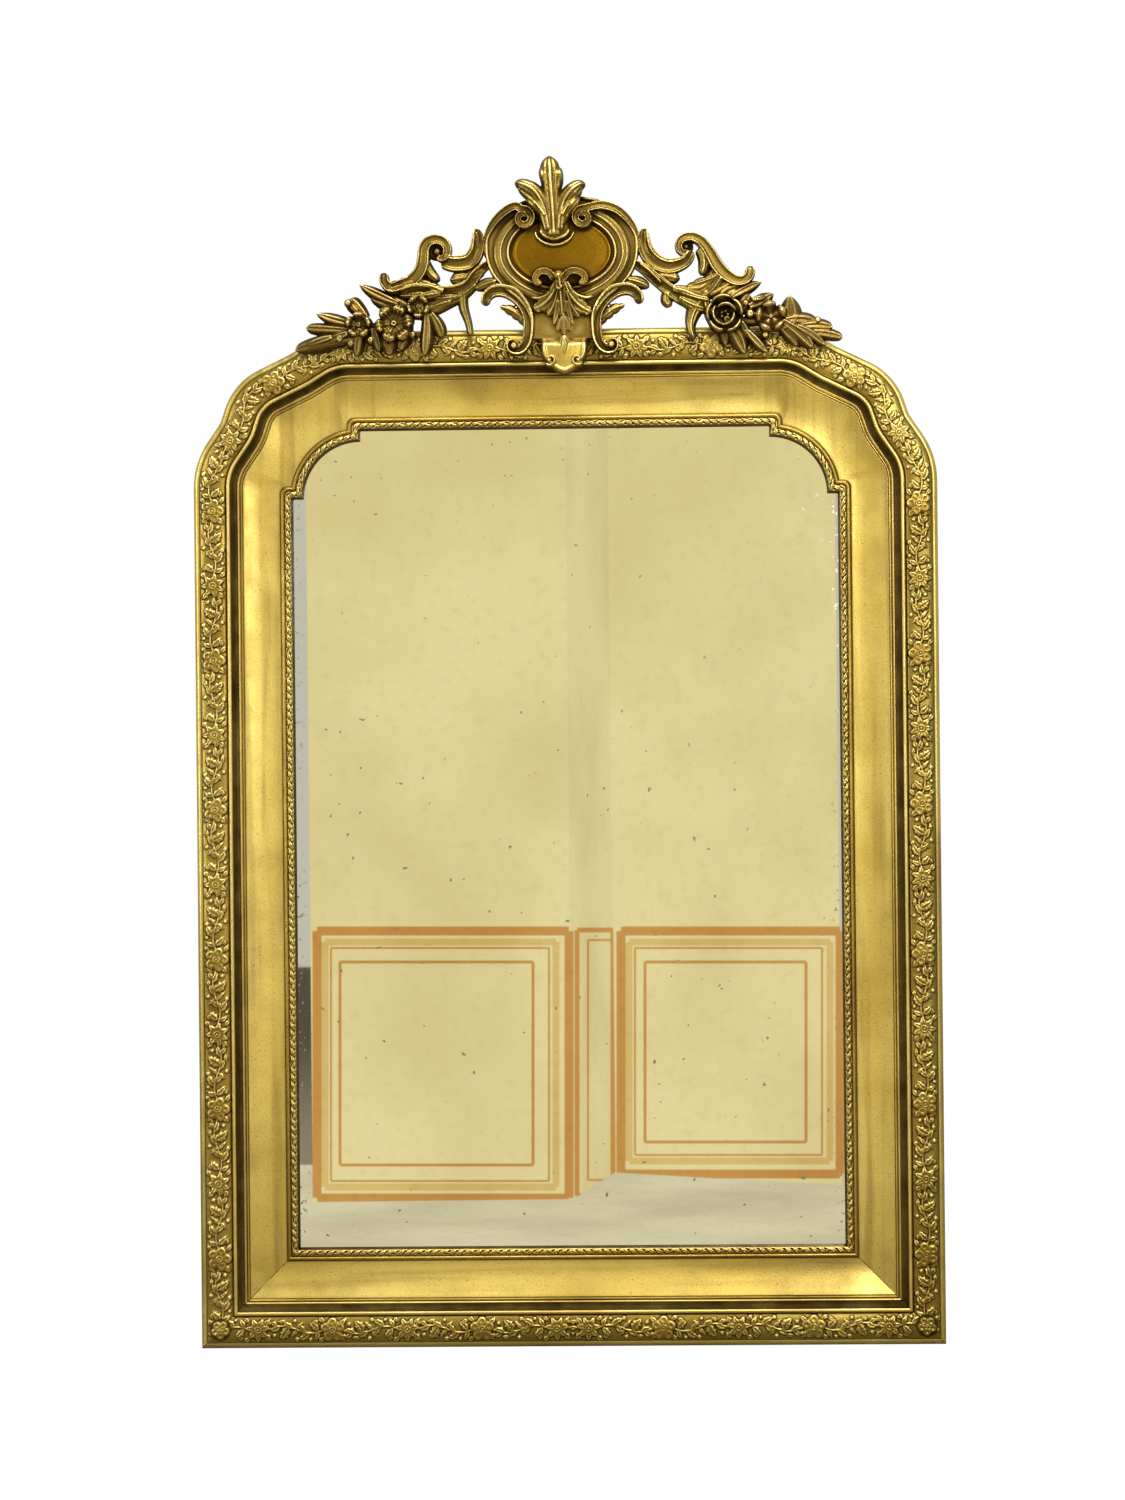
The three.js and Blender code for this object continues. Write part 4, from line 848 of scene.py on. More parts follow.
floral = floral_relief()
ribbon = ribbon_relief()
sight = [(MEMBER - out, h, g) for out, h, g in sight_rows()]


def sight_corner_rings():
    return np.stack([np.column_stack([c, np.full(len(c), h)])
                     for c, h in ((sight_contour(out), h) for out, h, _ in sight_rows())], axis=1)


def place_strip(name, kind, side, relief, node, material):
    is_band = relief is floral
    if is_band:
        place, contour, under = torus_place, outer_contour, BAND_UNDER
    else:
        place, contour, under = ribbon_place, ribbon_contour, RIBBON_UNDER
    piece = strip(name, kind, side, relief, place, contour, under, is_band, material)
    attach(piece, "frame_body")
    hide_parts(node)


def place_sight(name, rings, node):
    grime_and_shading = np.broadcast_to(np.array([r[2] for r in sight_rows()]), rings.shape[:2])
    piece = sweep(name, rings, gilt_sight, {"grime_and_shading": grime_and_shading}, sharp=50)
    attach(piece, "frame_body")
    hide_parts(node)


place_strip("floral_bottom", "bottom", 1, floral, "floral_band_bottom", gilt_band)
place_strip("floral_top", "top", 1, floral, "floral_band_top", gilt_band)
place_strip("ribbon_bottom", "bottom", 1, ribbon, "sight_moulding_bottom", gilt_sight)
place_strip("ribbon_top", "top", 1, ribbon, "sight_moulding_top", gilt_sight)
place_sight("sight_bottom", bottom_rings(sight), "sight_moulding_bottom")
place_sight("sight_top", top_rings(sight), "sight_moulding_top")
for side, word in ((-1, "left"), (1, "right")):
    place_strip(f"{word}_floral", "upright", side, floral, f"{word}_floral_band", gilt_band)
    place_strip(f"{word}_floral_shoulder", "corner", side, floral, f"{word}_shoulder_floral_band",
                gilt_band)
    place_strip(f"{word}_ribbon", "upright", side, ribbon, f"{word}_sight_moulding", gilt_sight)
    place_strip(f"{word}_ribbon_corner", "corner", side, ribbon, f"{word}_sight_corner",
                gilt_sight)
    place_sight(f"{word}_sight", handed(upright_rings(sight), side), f"{word}_sight_moulding")
    place_sight(f"{word}_sight_bend", handed(sight_corner_rings(), side), f"{word}_sight_corner")

# ---- carving: closed shells that are fused into one body per piece ----
def crest(x, y, h):
    return np.stack([x, y + HEIGHT, h], -1)


def shell(x, y, h):
    """One closed shell as (points, faces, caps) from ring arrays, rows along it and columns round it."""
    rings = crest(x, y, h)
    faces, caps = closed(rings)
    return rings.reshape(-1, 3), faces, caps


def gathered(shells):
    """Several shells as one set of points, faces and caps."""
    offset, points, faces, caps = 0, [], [], []
    for p, f, c in shells:
        points.append(p)
        faces.append(f + offset)
        caps += [[v + offset for v in cap] for cap in c]
        offset += len(p)
    return np.concatenate(points), np.concatenate(faces), caps


# Cross-sections of carved bands: (place across from -1 to 1, share of the height).
def lips(hollow):
    """Two rounded lips with a hollow between them."""
    s = np.array([-1, -0.97, -0.9, -0.78, -0.66, -0.5, -0.3, -0.1, 0.1, 0.3, 0.5, 0.66, 0.78, 0.9, 0.97, 1])
    lip = np.exp(-((np.abs(s) - 0.74) / 0.2) ** 2)
    outside = smooth(0.74, 1.0, np.abs(s))
    return s, (1 - hollow * (1 - lip) * (1 - outside)) * np.sqrt(1 - (0.93 * outside) ** 2)


def flutes(count, depth=0.11, fall=0.55):
    """Rounded ridges side by side with creases between them, falling away to both edges."""
    s = np.linspace(-1, 1, 8 * count + 1)
    ridge = np.abs(np.sin(math.pi * count * (s + 1) / 2))
    return s, (1 - fall * np.abs(s) ** 2.4) * (1 - depth * (1 - ridge))


def flipped(section):
    s, h = section
    return -s[::-1], h[::-1]


LIPS = lips(0.35)
SHALLOW = lips(0.2)
ROLL = (np.linspace(-1, 1, 13), np.sqrt(1 - 0.9 * np.linspace(-1, 1, 13) ** 2))
# two thin lips along one edge, then a broad cove down to a low lip on the other
COVED = (np.array([-1, -0.95, -0.88, -0.8, -0.72, -0.64, -0.56, -0.48, -0.4, -0.25, 0, 0.25, 0.5, 0.7, 0.82,
                   0.92, 1]),
         np.array([0.5, 0.86, 1.0, 0.99, 0.86, 0.92, 0.98, 0.9, 0.8, 0.7, 0.62, 0.58, 0.6, 0.66, 0.72, 0.64,
                   0.35]))


def scroll(points, widths, rise, section=LIPS, base=CREST_BACK, top=(1.0, 1.0), ends=(6.0, 6.0), lobes=0,
           bite=0.25):
    """A carved band along a line, rounded at both ends, with notched edges if it has lobes."""
    line = spline(points)
    way = np.gradient(line, axis=0)
    way /= np.linalg.norm(way, axis=1)[:, None] + 1e-9
    side = np.stack([-way[:, 1], way[:, 0]], 1)
    t = np.linspace(0, 1, len(line))
    run = t * np.linalg.norm(np.diff(line, axis=0), axis=1).sum()
    half = np.interp(t, np.linspace(0, 1, len(widths)), widths)
    nose = np.ones(len(t))
    for near, end in ((run, ends[0]), (run[-1] - run, ends[1])):
        if end > 0:
            nose *= np.sqrt(np.clip(1 - (1 - np.clip(near / end, 0, 1)) ** 2, 0.03, 1))
    if lobes:
        half = half * (1 - bite * np.abs(np.cos(math.pi * lobes * t)) ** 9)
    s, share = section
    tall = rise * np.interp(t, np.linspace(0, 1, len(top)), top) * (0.6 + 0.4 * nose)
    half = half * nose
    x = line[:, :1] + side[:, :1] * half[:, None] * s
    y = line[:, 1:2] + side[:, 1:2] * half[:, None] * s
    h = base + tall[:, None] * np.maximum(share, 0.3)
    x = np.concatenate([x, x[:, [-1, 0]]], 1)
    y = np.concatenate([y, y[:, [-1, 0]]], 1)
    h = np.concatenate([h, np.full((len(line), 2), base)], 1)
    return shell(x, y, h)


def spiral(centre, radius, start, turns, steps=14, tightness=0.16):
    """Points winding inwards; start in degrees, turns positive for anticlockwise."""
    t = np.linspace(0, 1, steps)
    reach = radius * (1 - (1 - tightness) * t)
    angle = math.radians(start) + 2 * math.pi * turns * t
    return [(centre[0] + r * math.cos(a), centre[1] + r * math.sin(a)) for r, a in zip(reach, angle)]


def leaf(start, end, width, bend=0.0, rise=14.0, lift=0.0, base=CREST_BACK, full=0.45, blunt=0.1, lobes=0,
         ribs=2, depth=0.16):
    """A leaf with long flutes that run together at both ends; its tip may lift."""
    a, b = np.array(start, float), np.array(end, float)
    along = b - a
    normal = unit(np.array([-along[1], along[0]]))
    t = np.linspace(0, 1, 30)[:, None]
    middle = (a + b) / 2 + normal * bend
    line = (1 - t) ** 2 * a + 2 * t * (1 - t) * middle + t ** 2 * b
    way = np.gradient(line, axis=0)
    way /= np.linalg.norm(way, axis=1)[:, None]
    t = t[:, 0]
    away = np.where(t < full, (full - t) / full, (t - full) / (1 - full))
    half = width * np.where(t < full, 1 - 0.45 * away ** 2, 1 - (1 - blunt) * away ** 2.2)
    half = half * np.sqrt(np.clip(1 - np.clip((t - 0.9) / 0.1, 0, 1) ** 2, 0.03, 1))
    if lobes:
        half = half * (1 - 0.25 * np.abs(np.cos(math.pi * (lobes + 0.5) * t)) ** 9 * (t > 0.15) * (t < 0.9))
    s, share = flutes(ribs, depth)
    swell = (rise * (1 - 0.4 * t) + lift * t * t)[:, None]
    h = base + swell * share
    x = line[:, :1] - way[:, 1:2] * half[:, None] * s
    y = line[:, 1:2] + way[:, :1] * half[:, None] * s
    low = np.repeat((base + lift * t * t * 0.6)[:, None], 2, axis=1)
    return shell(np.concatenate([x, x[:, [-1, 0]]], 1), np.concatenate([y, y[:, [-1, 0]]], 1),
                 np.concatenate([h, low], 1))


def knob(centre, radius, rise=None, base=CREST_BACK, stretch=1.0, turn=0.0, dent=0.0):
    """A round or oval bud, with a dent at its tip if given."""
    rise = radius if rise is None else rise
    theta = np.linspace(0, 2 * math.pi, 28, endpoint=False)
    q = np.concatenate([[1.0], np.sin(np.linspace(math.pi / 2, 0.03, 10))])
    up = np.concatenate([[0.0], 0.35 + 0.65 * np.cos(np.linspace(math.pi / 2, 0.03, 10))])
    up = up - dent * np.exp(-(q / 0.3) ** 2)
    lx = radius * q[:, None] * np.cos(theta)
    ly = radius * stretch * q[:, None] * np.sin(theta)
    x = centre[0] + lx * math.cos(turn) - ly * math.sin(turn)
    y = centre[1] + lx * math.sin(turn) + ly * math.cos(turn)
    return shell(x, y, np.broadcast_to((base + rise * up)[:, None], x.shape))


def petal(centre, angle, reach, width, rise, base, inner=0.15, edge=1.0, ribs=2):
    """One petal outward from a flower's middle; edge above 1 lifts its rim into a cup."""
    way = np.array([math.cos(angle), math.sin(angle)])
    line = [tuple(np.array(centre) + way * reach * q) for q in (inner, 0.45, 0.75, 1.0)]
    return scroll(line, [0.4 * width, 0.8 * width, width, 0.85 * width], rise, flutes(ribs, 0.14, 0.22), base,
                  (0.6, 0.7, edge, 0.85 * edge), (0, 0.4 * reach))


def flower(centre, radius, petals, rise, base, turn=0.0, edge=1.15, eye=0.24, ribs=2):
    """Petals laid side by side round a button."""
    out = [petal(centre, turn + 2 * math.pi * k / petals, radius, radius * 2.15 / petals, rise, base,
                 edge=edge, ribs=ribs)
           for k in range(petals)]
    out.append(knob(centre, radius * 0.5, rise * 0.55, base))
    out.append(knob(centre, radius * eye, rise * 0.84, base, dent=0.3))
    return out


def rose(centre, radius, rise, base):
    """A cupped flower: broad petals with rolled rims round a deep middle with a few seeds."""
    out = [knob(centre, radius * 0.9, rise * 0.35, base)]
    for k, (turn, far) in enumerate(((0.5, 1.0), (1.75, 1.06), (2.95, 1.0), (4.1, 0.96), (5.4, 1.0))):
        out.append(petal(centre, turn, radius * far, radius * 0.5, rise * (0.72 + 0.03 * (k % 2)), base, 0.3,
                         1.12, 1))
        angles = turn + np.linspace(-0.62, 0.62, 7)
        reach = radius * far * (0.84 - 0.05 * np.linspace(-1, 1, 7) ** 2)
        rim = [(centre[0] + q * math.cos(a), centre[1] + q * math.sin(a)) for q, a in zip(reach, angles)]
        out.append(scroll(rim, [2.2, 3.2, 3.6, 3.2, 2.2], rise * (0.92 + 0.05 * (k % 2)), ROLL, base,
                          (0.9, 1, 0.9), (4, 4)))
    for turn, ring in ((0.2, 0.5), (2.3, 0.54), (4.3, 0.48)):
        angles = turn + np.linspace(0, 2.3, 8)
        reach = radius * (ring + np.linspace(0.05, -0.05, 8))
        line = [(centre[0] + q * math.cos(a), centre[1] + q * math.sin(a)) for q, a in zip(reach, angles)]
        out.append(scroll(line, [2, 2.8, 3, 2.8, 1.8], rise, ROLL, base, (0.85, 1.0, 0.9), (4, 4)))
    for n in range(5):
        a = 2 * math.pi * n / 5
        out.append(knob((centre[0] + 0.17 * radius * math.cos(a), centre[1] + 0.17 * radius * math.sin(a)),
                        radius * 0.12, rise * 0.6, base))
    return out


def hollows(mesh, passes=24):
    """How far each point lies below the mean of its neighbourhood, in millimetres."""
    count = len(mesh.vertices)
    place = np.empty(count * 3)
    mesh.vertices.foreach_get("co", place)
    place = place.reshape(-1, 3)
    normal = np.empty(count * 3)
    mesh.vertices.foreach_get("normal", normal)
    ends = np.empty(len(mesh.edges) * 2, int)
    mesh.edges.foreach_get("vertices", ends)
    a, b = ends.reshape(-1, 2).T
    degree = np.bincount(a, minlength=count) + np.bincount(b, minlength=count)
    soft = place.copy()
    for _ in range(passes):
        near = np.stack([np.bincount(a, soft[b, n], count) + np.bincount(b, soft[a, n], count)
                         for n in range(3)], 1)
        soft = 0.4 * soft + 0.6 * near / np.maximum(degree, 1)[:, None]
    return ((soft - place) * normal.reshape(-1, 3)).sum(1) * 1000


def carve(name, shells, material, nodes, voxel=0.8):
    """Fuses the shells into one body and gives it an empty per-point attribute, which age() fills in later.
    """
    points, faces, caps = gathered(shells)
    rough = make(name + "_shells", points, faces, material, caps)
    fuse = rough.modifiers.new("fuse", "REMESH")
    fuse.mode = "VOXEL"
    fuse.voxel_size = voxel / 1000
    fuse.use_smooth_shade = True
    soften = rough.modifiers.new("soften", "SMOOTH")
    soften.factor = 0.5
    soften.iterations = 2
    ready = rough.evaluated_get(bpy.context.evaluated_depsgraph_get())
    mesh = bpy.data.meshes.new_from_object(ready)
    old = rough.data
    bpy.data.objects.remove(rough)
    bpy.data.meshes.remove(old)
    mesh.name = name
    mesh.attributes.new("grime_and_shading", "FLOAT", "POINT")
    mesh.materials.clear()
    mesh.materials.append(material)
    piece = bpy.data.objects.new(name, mesh)
    scene.collection.objects.link(piece)
    bare_back(piece, pine_across, CREST_BACK + 20)
    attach(piece, "frame_body")
    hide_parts(*nodes)
    return piece


def age(pieces, step=1.0, reach=5):
    """Marks the hollows (up to 1) and the heights (below 0) of carvings that stand together, from how far
    each point lies below the mean height round it, both near by and some millimetres round; the hollows are
    painted dark as shade with soiling, the heights light as painted highlight with abrasion."""
    places = []
    for piece in pieces:
        co = np.empty(len(piece.data.vertices) * 3)
        piece.data.vertices.foreach_get("co", co)
        places.append(co.reshape(-1, 3) * 1000)
    everything = np.concatenate(places)
    low = everything.min(0) - 20 * step
    rows, columns = (np.ceil((everything.max(0) - low) / step).astype(int) + 20)[[0, 2]]

    def cells(co):
        return ((co[:, 0] - low[0]) / step).astype(int), ((co[:, 2] - low[2]) / step).astype(int)

    front = np.full((rows, columns), -1.0)
    np.maximum.at(front, cells(everything), -everything[:, 1])
    there = (front > 0).astype(float)
    front = front * there
    weights = np.exp(-0.5 * (np.arange(-3 * reach, 3 * reach + 1) / reach) ** 2)
    for axis in (0, 1):
        front, there = (np.apply_along_axis(np.convolve, axis, grid, weights, "same")
                        for grid in (front, there))
    mean = front / np.maximum(there, 1e-6)
    for piece, co in zip(pieces, places):
        wide = mean[cells(co)] + co[:, 1]
        near = hollows(piece.data)
        # painted shade with soiling where a point lies below its surroundings, painted highlight with
        # abrasion where it stands above them
        dirt_and_shade = np.clip(smooth(-0.6, 5.5, wide) + 0.45 * smooth(0.08, 0.7, near), 0, 1)
        rubbed_and_sheen = 0.6 * smooth(0.4, 4.0, -wide) + 0.3 * smooth(0.1, 0.7, -near)
        # the stem just above the lobe is painted brighter and less dark, running on from the bright lobe
        brighter_stem = np.exp(-((co[:, 0] - 3) / 24) ** 2 - ((co[:, 2] - HEIGHT + LIFT + 4) / 20) ** 2)
        dirt_and_shade *= 1 - 0.8 * brighter_stem
        rubbed_and_sheen += 0.45 * brighter_stem
        piece.data.attributes["grime_and_shading"].data.foreach_set("value", dirt_and_shade - np.minimum(rubbed_and_sheen, 0.55) * (1 - dirt_and_shade))


# ---- cartouche ----
OVAL = (0.0, 94.0)
OVAL_HALF = (65.0, 44.0)
CARTOUCHE_HALF = [
    (0, 166), (27, 164), (48, 159.5), (68, 149.5), (85, 134), (95.5, 116), (97.5, 98), (95, 81), (88.5, 65.5),
    (74, 48), (56, 33), (44, 15.5), (40, -6.5), (38, -16),
]


def cartouche_shell():
    left = [(-x, y) for x, y in CARTOUCHE_HALF[1:]][::-1]
    outline = spline(left + CARTOUCHE_HALF, 2.6)
    foot = np.stack([np.linspace(38, -38, 24)[1:-1], np.full(22, -16.0)], 1)
    outline = np.vstack([outline, foot])
    angle = np.arctan2(outline[:, 1] - OVAL[1], outline[:, 0] - OVAL[0])
    reach = 1 / np.hypot(np.cos(angle) / OVAL_HALF[0], np.sin(angle) / OVAL_HALF[1])
    oval = np.stack([OVAL[0] + reach * np.cos(angle), OVAL[1] + reach * np.sin(angle)], 1)
    gap = np.linalg.norm(outline - oval, axis=1)
    # distances in from the rim, and out from the oval, with their heights
    rim = [(0, 0), (0, 7), (0.4, 12), (1.2, 14.6), (2.4, 15.6), (3.6, 15), (4.6, 13.6), (5.6, 12.2),
           (7, 11.6), (9.6, 11.4)]
    ring = [(21, 13.2), (18.5, 14.6), (16.4, 15), (15, 14.6), (14.2, 14.2), (13.4, 15.6), (12.4, 16.3),
            (11.4, 15.6), (10.6, 14.2),
            (9, 13.4), (7, 13.4), (5.4, 14.6), (4.4, 16.6), (3.2, 17.8), (2, 17.4), (1.2, 15.4), (0.6, 13),
            (-2, 11)]
    rows = []
    for inset, height in rim:
        rows.append((np.minimum(inset / gap, 0.46), height))
    for k in range(1, 10):
        t = k / 10
        start = np.minimum(9.6 / gap, 0.46)
        stop = np.maximum(1 - 21 / gap, start + 0.02)
        rows.append((start + (stop - start) * t, 11.4 + 1.8 * t - 0.9 * math.sin(math.pi * t)))
    for outset, height in ring:
        share = 1 - outset / gap
        rows.append((np.maximum(share, np.minimum(9.6 / gap, 0.46) + 0.03 + 0.001 * (21 - outset)), height))
    x, y, h = [], [], []
    for share, height in rows:
        place = outline + (oval - outline) * np.asarray(share)[:, None]
        x.append(place[:, 0])
        y.append(place[:, 1])
        # the moulded edge dies out on the foot, which lies behind the lobe
        h.append(CREST_BACK + min(height, 11.4) + max(height - 11.4, 0) * smooth(-8, 8, place[:, 1]))
    return shell(np.array(x), np.array(y), np.array(h))


def rim_scroll(side):
    """The rim of the cartouche, rolling into a volute beside the finial."""
    eye = (-10 + side * 38, 135)
    points = [(side * 97.5, 90), (side * 96, 111), (side * 87, 130), (side * 71, 145.5),
              (side * 54 - 3, 151.5)]
    points += spiral(eye, 12.5, 90 - side * 10, 1.25 * side, 18, 0.2)
    return scroll(points, [2, 3, 4.6, 5.6, 6.2, 6, 5.6, 5, 4.6, 4], 25, SHALLOW,
                  top=(0.58, 0.66, 0.8, 0.95, 1.05, 1.25, 1.42), ends=(12, 4))


def lower_scroll(side):
    points = [(97, 28), (96, 38), (86, 46), (68, 44.5), (53, 33), (44, 16), (43, -3), (46, -20), (54.5, -30),
              (65, -29),
              (66.5, -21), (60, -18.5)]
    points = [(side * x, y) for x, y in points]
    section = COVED if side > 0 else flipped(COVED)
    band = scroll(points, [6, 7, 7.5, 8.5, 7.5, 7, 6.8, 6.5, 6, 4.5, 3], 18, section,
                  top=(0.9, 1, 1, 1, 1.15, 1.25), ends=(7, 4))
    spur = leaf((side * 45, 3), (side * 79, 27), 7.5, side * 9, 10, 2, lobes=3, blunt=0.3, ribs=3)
    ear = leaf((side * 84, 58), (side * 110, 49), 8, side * 3, 16, 0, blunt=0.35, ribs=3)
    eye = knob((side * 62, -24), 5.5, 22, dent=0.12)
    return [band, spur, ear, eye]


def plaque_shell():
    theta = np.linspace(0, 2 * math.pi, 96, endpoint=False)
    rows = [(1, -0.6), (1, 1.2), (0.985, 2.2), (0.95, 2.4), (0.92, 1.9), (0.88, 2.1), (0.7, 2.9), (0.45, 3.5),
            (0.2, 3.9),
            (0.03, 4)]
    q = np.array([r[0] for r in rows])[:, None]
    h = np.array([r[1] for r in rows])[:, None]
    x = OVAL[0] + (OVAL_HALF[0] - 2.3) * q * np.cos(theta)
    y = OVAL[1] + (OVAL_HALF[1] - 2.3) * q * np.sin(theta)
    return shell(x, y, np.broadcast_to(CREST_BACK + 11.3 + h, x.shape))


# ---- lobe, clasp and finial ----
def lobe_shells():
    right = [(36, -8), (31.5, -17), (32, -27), (30.5, -37), (25, -47), (15, -55.5), (2, -61)]
    left = [(-11, -55.5), (-20.5, -47), (-26.5, -37), (-28, -27), (-27.5, -17), (-32, -9)]
    outline = spline(right + left, 1.5)
    centre = np.array([2.5, -30.0])
    top = np.stack([np.linspace(-32, 36, 20)[1:-1], np.full(18, -8.0)], 1)
    outline = np.vstack([outline, top])
    rows = [(0, 0), (0, 12), (0.02, 16), (0.06, 19.5), (0.12, 21.6), (0.19, 21.8), (0.24, 20.6), (0.30, 20.4),
            (0.5, 21), (0.75, 21.6),
            (0.97, 21.8)]
    x, y, h = [], [], []
    for share, height in rows:
        place = outline + (centre - outline) * share
        x.append(place[:, 0])
        y.append(place[:, 1])
        h.append(CREST_BACK + height * (1 - 0.6 * smooth(-25, -9, place[:, 1])))
    out = [shell(np.array(x), np.array(y), np.array(h))]
    for cx, hand in ((-15.5, 1), (18.5, -1)):
        start = 200 if hand > 0 else -20
        line = spiral((cx, -43), 7.6, start, 1.3 * hand, 16, 0.16)
        out.append(scroll(line, [2.6, 2.6, 2.4, 2.2, 1.8], 26, ROLL, ends=(4, 2)))
        out.append(knob((cx, -43), 3, 26))
    out.append(leaf((2.5, -13), (2.5, -38), 8, 0, 8, 0, CREST_BACK + 16, ribs=1, full=0.5))
    out.append(leaf((2.5, -16), (2.5, -36), 5, 0, 11, 0, CREST_BACK + 16, ribs=2, full=0.5))
    return out


def clasp_shells():
    base = CREST_BACK + 4
    out = [
        leaf((-3, 62), (1, 2), 10, 0, 33, 0, base, full=0.2, ribs=3, depth=0.16),
        leaf((-6, 54), (-36, 22), 12, 13, 28, 0, base, full=0.62, blunt=0.6, lobes=3, ribs=3),
        leaf((4, 54), (37, 17), 12, -13, 28, 0, base, full=0.62, blunt=0.6, lobes=3, ribs=3),
        leaf((-6, 42), (-19, 13), 8, 5, 27, 0, base, full=0.5, blunt=0.4, ribs=3),
        leaf((6, 42), (22, 11), 8, -5, 27, 0, base, full=0.5, blunt=0.4, ribs=3),
        leaf((-5, 30), (-11, 1), 6, 2, 25, 0, base, ribs=2),
        leaf((6, 30), (14, 1), 6, -2, 25, 0, base, ribs=2),
        knob((-4, 62), 7.5, 34, base),
        leaf((2, 14), (2.5, -12), 6, 0, 27, 0, base, full=0.6, ribs=1, blunt=0.3),
        leaf((0, 10), (-6, -7), 5, -2, 25, 0, base, ribs=1, blunt=0.4, full=0.6),
        leaf((4, 10), (10, -7), 5, 2, 25, 0, base, ribs=1, blunt=0.4, full=0.6),
        scroll([(-8, 50), (-4, 44), (2, 50)], [2.5, 3, 2.5], 35, ROLL, base, ends=(3, 3)),
    ]
    for side in (-1, 1):
        line = [(-4 + side * 5, 57), (-4 + side * 13, 66.5), (-3 + side * 24, 67), (-2 + side * 31, 60),
                (-2 + side * 29, 53), (-2 + side * 23, 55)]
        out.append(scroll(line, [5, 4.6, 4.6, 4.6, 4, 3], 29, SHALLOW, base, (0.95, 1, 1.05), (3, 3)))
        line = [(side * 9, 50), (side * 17, 40), (side * 30, 35), (side * 40, 37)]
        out.append(scroll(line, [4, 4.6, 4, 3], 22, ROLL, base, (1, 0.9, 0.7), (3, 6)))
    return out


def finial_shells():
    base = CREST_BACK + 16
    plume = dict(base=base, top=(0.9, 1.0, 1.0, 1.15, 0.9))
    out = [
        scroll([(-9, 112), (-10, 140), (-12, 170), (-13.5, 192), (-14.5, 213)], [10, 10, 10.5, 12, 13, 11],
               20, flutes(3, 0.15),
               ends=(3, 15), **plume),
        scroll([(-9, 160), (-20, 184), (-24.5, 200)], [6, 6.5, 5], 18, flutes(2), ends=(5, 9), **plume),
        scroll([(-11, 160), (-3, 182), (-3, 200)], [6, 6.5, 5], 18, flutes(2), ends=(5, 9), **plume),
        scroll([(-15, 118), (-21, 146), (-33, 168), (-50, 178), (-58, 180)], [8, 10, 11, 10, 7], 19,
               flutes(3, 0.12),
               ends=(4, 12), **plume),
        scroll([(-4, 118), (0, 146), (10, 165), (24, 176), (31, 177)], [8, 10, 11, 10, 7], 19,
               flutes(3, 0.12),
               ends=(4, 12), **plume),
        scroll([(-15, 116), (-22, 140), (-42, 163)], [6, 7.5, 7.5], 15, flutes(3, 0.12), ends=(4, 9),
               **plume),
        scroll([(-3, 116), (5, 140), (22, 162)], [6, 7.5, 7.5], 15, flutes(3, 0.12), ends=(4, 9), **plume),
        leaf((-20, 138), (-54, 172), 6, -8, 21, 2, base, blunt=0.3, ribs=2, full=0.6),
        leaf((1, 138), (27, 170), 6, 7, 21, 2, base, blunt=0.3, ribs=2, full=0.6),
        knob((-9, 124), 19, 13, base, 0.9),
        knob((-9, 127), 8, 17, base),
    ]
    collar = [(-34, 121), (-30, 111), (-21, 104.5), (-9, 102), (3, 104.5), (12, 111), (16.5, 121)]
    inner = [(-28, 122), (-23, 114), (-16, 110), (-9, 108.5), (-2, 110), (6, 114), (11, 122)]
    out.append(scroll(collar, [2.4, 3.2, 3.8, 4.2, 3.8, 3.2, 2.4], 14, ROLL, base - 10, (1, 1.1, 1), (5, 5)))
    out.append(scroll(inner, [2, 2.8, 3, 2.8, 2], 15, ROLL, base - 6, (1, 1.1, 1), (5, 5)))
    for x, y, tilt in ((-24, 99, -5), (-16, 95, -3), (-9, 92, 0), (-1, 95, 3), (7, 99, 5)):
        out.append(leaf((x + 0.6 * (-9 - x), 107), (x + tilt * 0.3, y), 4, 0, 6, 0, base - 8, ribs=1,
                        blunt=0.4, full=0.6))
    return out


